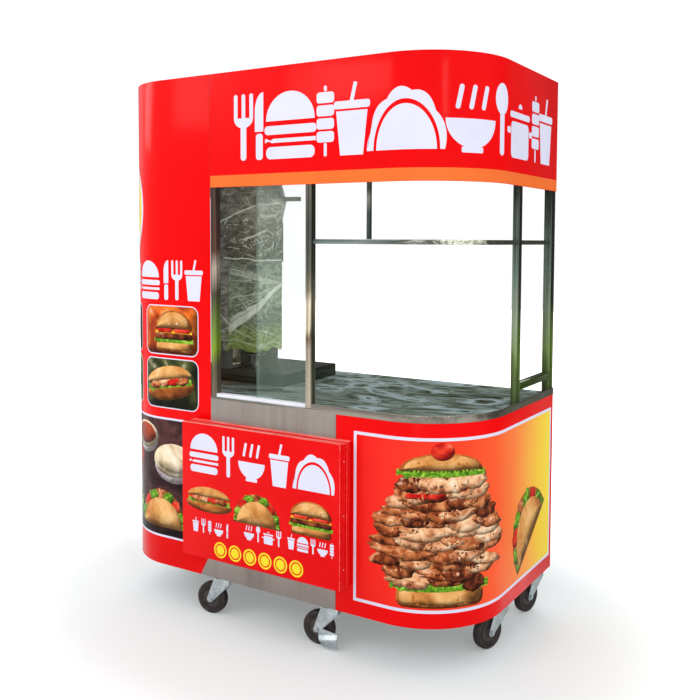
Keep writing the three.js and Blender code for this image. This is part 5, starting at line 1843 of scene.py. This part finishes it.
# The wheel's section as shares of its radius and of its width, from the bore to the middle of the tread
WHEEL_PROFILE_SHARES = (
    (0.09, 0.54), (0.26, 0.54), (0.28, 0.50), (0.30, 0.34), (0.40, 0.32), (0.55, 0.33), (0.585, 0.40),
    (0.60, 0.44), (0.64, 0.44), (0.655, 0.40), (0.685, 0.40), (0.70, 0.45), (0.74, 0.46), (0.755, 0.43),
    (0.785, 0.43), (0.80, 0.475), (0.87, 0.49), (0.92, 0.475), (0.955, 0.43), (0.982, 0.36), (0.995, 0.27),
    (1.0, 0.16), (1.0, 0.06), (0.992, 0.035), (0.992, 0.0),
)
WHEEL_WIDTH = 0.032
HUB_SHARE = 0.57


def build_wheel(place):
    """A wheel turned about its axle, with grooved sides and a rounded tyre."""
    node = "caster_wheel_" + place
    joint = next(joint for joint in frame["joints"] if joint["name"] == "spin_" + place)
    middle = Vector(joint["pos_m"])
    axle = Vector(joint["axis"]).normalized()
    radius = middle.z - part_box(node)[0].z
    forward = axle.cross(UP).normalized()
    shares = list(WHEEL_PROFILE_SHARES) + [(share, -half) for share, half in WHEEL_PROFILE_SHARES[::-1][1:]]
    profile = [(share * radius, half * WHEEL_WIDTH) for share, half in shares]
    steps = sizes().wheel_steps
    shell = bmesh.new()
    rings = []
    for step in range(steps):
        turn = 2 * math.pi * step / steps
        outwards = forward * math.cos(turn) + UP * math.sin(turn)
        rings.append([shell.verts.new(middle + outwards * reach + axle * half) for reach, half in profile])
    for here, after in zip(rings, rings[1:] + rings[:1]):
        for index in range(len(profile)):
            beyond = (index + 1) % len(profile)
            face = shell.faces.new((here[index], here[beyond], after[beyond], after[index]))
            face.material_index = 1 if max(profile[index][0], profile[beyond][0]) < HUB_SHARE * radius else 0
    bmesh.ops.recalc_face_normals(shell, faces=shell.faces)
    piece = add_piece(node + "_turned", to_mesh(node, shell), ["tyre_rubber", "hub_plastic"])
    settle(piece)
    seat(piece, frame["nodes"][node]["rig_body"], node)


def build_casters():
    kind = "caster_wheel_"
    for place in sorted(name[len(kind):] for name in frame["nodes"] if name.startswith(kind)):
        dress("caster_plate_" + place, "zinc", FINE_EDGE)
        dress("caster_fork_" + place, "zinc", FINE_EDGE)
        build_wheel(place)
    dress("brake_pedal_front_middle", "zinc", FINE_EDGE)


# Fasteners

SKIN_RIVET = 0.0030
SKIN_RIVET_SINK = 0.00126
SKIN_RIVET_INSET = 0.018
SKIN_RIVET_LEVELS = (0.20, 0.36, 0.52, 0.68, 0.80, 1.70, 1.82, 1.94)
HINGE_SCREW = 0.0030
HINGE_SCREW_INSET = 0.045
HINGE_SCREW_SINK = 0.0012
HINGE_SCREW_REACH = 0.018
BOX_SCREW = 0.0026
BOX_SCREW_INSET = 0.06


def build_skin_rivets():
    """Rivets along the back edges of the skins, where they meet the rear posts."""
    places = []
    inset = sizes().vinyl_inset
    for x, way in ((LEFT + inset + SKIN_RIVET_SINK, -1), (RIGHT - inset - SKIN_RIVET_SINK, 1)):
        for level in SKIN_RIVET_LEVELS:
            places.append((Vector((x, REAR - SKIN_RIVET_INSET, level)), Vector((way, 0, 0))))
    rivets("skin_rivets", places, SKIN_RIVET, 0.42)


def build_hinge_screws():
    for side in ("left", "right"):
        door = "rear_door_" + side
        low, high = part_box(door)
        x = low.x + HINGE_SCREW_INSET if side == "left" else high.x - HINGE_SCREW_INSET
        places = []
        for share in (0.14, 0.86):
            for shift in (-HINGE_SCREW_REACH, HINGE_SCREW_REACH):
                z = low.z + (high.z - low.z) * share + shift
                places.append((Vector((x, REAR - HINGE_SCREW_SINK, z)), Vector((0, 1, 0))))
        rivets(door + "_screws", places, HINGE_SCREW, 0.40, frame["nodes"][door]["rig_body"])


def build_box_screws():
    low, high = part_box("light_box_frame")
    middle = (low + high) / 2
    places = []
    for z in (low.z + BOX_SCREW_INSET, middle.z, high.z - BOX_SCREW_INSET):
        for x, way in ((low.x, -1), (high.x, 1)):
            places.append((Vector((x, middle.y, z)), Vector((way, 0, 0))))
    rivets("light_box_screws", places, BOX_SCREW, 0.40)


def build_fasteners():
    build_skin_rivets()
    build_hinge_screws()
    build_box_screws()


# Stage

SENSOR = 36.0
FLOOR_REACH = 14.0
LAMP_TARGET = (0.0, 0.0, 1.1)

# Lamps: name, place, width, height and radiance
LAMPS = (
    ("left_soft_box", (-4.4, -1.3, 3.6), 1.3, 2.4, 3.2),
    ("front_soft_box", (-2.6, -4.6, 4.0), 2.2, 1.5, 3.4),
    ("right_soft_box", (4.2, -3.3, 3.4), 0.8, 2.2, 4.6),
    ("fill_soft_box", (1.6, -4.6, 2.2), 1.0, 1.6, 1.6),
    ("rear_soft_box", (-1.8, 5.0, 4.0), 3.0, 1.8, 2.4),
)


def build_camera():
    stage = bpy.context.scene.cart_stage
    a, p, r = stage.azimuth, stage.pitch, stage.roll
    forward = Vector((-math.sin(a) * math.cos(p), math.cos(a) * math.cos(p), -math.sin(p)))
    right = Vector((math.cos(a), math.sin(a), 0))
    up = right.cross(forward)
    rolled_right = math.cos(r) * right + math.sin(r) * up
    rolled_up = -math.sin(r) * right + math.cos(r) * up
    lens = bpy.data.cameras.new("camera")
    lens.lens = stage.lens
    lens.sensor_width = SENSOR
    lens.shift_x = stage.shift_x
    lens.shift_y = stage.shift_y
    camera = link("camera", lens)
    turn = Matrix((rolled_right, rolled_up, -forward)).transposed().to_4x4()
    camera.matrix_world = Matrix.Translation(stage.place) @ turn
    bpy.context.scene.camera = camera


def soft_box(name, place, width, height, radiance):
    """A rectangular lamp of an even brightness, turned to the cart."""
    data = bpy.data.lights.new(name, "AREA")
    data.shape = "RECTANGLE"
    data.size = width
    data.size_y = height
    data.energy = radiance * math.pi * width * height
    lamp = link(name, data)
    lamp.location = place
    lamp.rotation_euler = (Vector(LAMP_TARGET) - Vector(place)).to_track_quat("-Z", "Y").to_euler()
    lamp.visible_camera = False


def build_world():
    """White to the camera and through glass, darker behind the cart in mirrors, even for the rest."""
    world = bpy.data.worlds.new("world")
    world.use_nodes = True
    bpy.context.scene.world = world
    made = Nodes(world.node_tree)
    seen = made.ray("Camera") + made.ray("Transmission")
    mirrored = made.ray("Glossy")
    direction = made.node("ShaderNodeTexCoord", output="Generated")
    up = made.axis(direction, "Z")
    trees = made.axis(direction, "Y").smooth_step(0.10, 0.75) * (1.0 - up.smooth_step(0.40, 0.85))
    sky = (up.smooth_step(-0.12, 0.30) * 0.45 + 0.55) * (1.0 - trees * 0.9)
    even = (1.0 - seen - mirrored) * bpy.context.scene.cart_stage.ambient
    background = world.node_tree.nodes["Background"]
    background.inputs["Color"].default_value = WHITE
    made.plug(background.inputs["Strength"], seen * 1.05 + mirrored * sky + even)


def build_floor():
    """A pale floor that fades to white away from the cart and keeps its shadow."""
    shell = bmesh.new()
    bmesh.ops.create_grid(shell, x_segments=2, y_segments=2, size=FLOOR_REACH)
    floor = link("floor", to_mesh("floor", shell))
    made = Finish("floor", 0.1, {"Roughness": 0.9, "Emission Color": WHITE})
    place = made.place()
    across, along = made.axis(place, "X"), made.axis(place, "Y")
    far = ((across * across * 0.64 + along * along * 1.2) ** 0.5).smooth_step(0.80, 1.75)
    pale = made.mix(far, shade(217, 223, 224), shade(250, 250, 250))
    behind = made.ray("Glossy") * along.smooth_step(0.3, 1.2)
    made.feed({"Base Color": made.mix(behind, pale, shade(118, 124, 114))})
    lift = {"Color": WHITE, "Strength": made.ray("Camera") * (far * 0.53 + 0.20)}
    glow = made.node("ShaderNodeEmission", {}, lift)
    total = made.node("ShaderNodeAddShader", {}, {0: Wire(made, made.shader.outputs[0]), 1: glow})
    made.plug(made.tree.nodes["Material Output"].inputs["Surface"], total)
    floor.data.materials.append(made.material)


def build_stage():
    bpy.context.scene.view_settings.view_transform = "Standard"
    build_camera()
    build_world()
    build_floor()
    for lamp in LAMPS:
        soft_box(*lamp)


# Operators


def cart_operator(name, label, text, build):
    """An operator class that runs a builder."""
    def execute(self, context):
        build()
        return {"FINISHED"}
    parts = {
        "bl_idname": "cart." + name, "bl_label": label, "__doc__": text,
        "bl_options": {"REGISTER", "UNDO"}, "execute": execute,
    }
    return type("CART_OT_" + name, (bpy.types.Operator,), parts)


OPERATORS = (
    cart_operator("stage", "Stage", "Adds the camera, the lamps, the world and the floor.", build_stage),
    cart_operator("skins", "Skins", "Builds the curved red skins and the rear fascia.", build_skins),
    cart_operator(
        "canopy_print", "Canopy Print", "Lays the stripe and the signs on the canopy.", build_canopy_print,
    ),
    cart_operator(
        "panel_print", "Skirt Print", "Lays the framed picture on the right skirt.", build_panel_print,
    ),
    cart_operator(
        "column_print", "Column Print", "Lays the pictures on the left column.", build_column_print,
    ),
    cart_operator("light_box", "Light Box", "Builds the light box and its print.", build_light_box),
    cart_operator("steelwork", "Steelwork", "Finishes the chassis, posts, rails and roof.", build_steelwork),
    cart_operator("counter", "Counter", "Finishes the counter and its film.", build_counter),
    cart_operator("doors", "Doors", "Finishes the rear doors and handles.", build_doors),
    cart_operator("hatch", "Hatch", "Finishes the tracks and glass panes.", build_hatch),
    cart_operator("grill", "Grill", "Finishes the vertical grill.", build_grill),
    cart_operator("grill_film", "Grill Film", "Wraps the grill in wrinkled film.", build_grill_film),
    cart_operator("casters", "Casters", "Builds the wheels and finishes the forks.", build_casters),
    cart_operator("fasteners", "Fasteners", "Adds rivets and screws.", build_fasteners),
)


class CART_PT_builder(bpy.types.Panel):
    """Lists the operators of the cart."""

    bl_label = "Food Cart"
    bl_idname = "CART_PT_builder"
    bl_space_type = "VIEW_3D"
    bl_region_type = "UI"
    bl_category = "Food Cart"

    def draw(self, context):
        for operator in OPERATORS:
            self.layout.operator(operator.bl_idname)


GROUPS = {"cart_sizes": CartSizes, "cart_colours": CartColours, "cart_stage": CartStage}
CLASSES = (*GROUPS.values(), *OPERATORS, CART_PT_builder)


def register():
    for each in CLASSES:
        bpy.utils.register_class(each)
    for name, group in GROUPS.items():
        setattr(bpy.types.Scene, name, PointerProperty(type=group))


def unregister():
    for name in GROUPS:
        delattr(bpy.types.Scene, name)
    for each in reversed(CLASSES):
        bpy.utils.unregister_class(each)


def main():
    register()
    for operator in OPERATORS:
        getattr(bpy.ops.cart, operator.bl_idname.split(".")[1])()


if __name__ == "__main__":
    main()
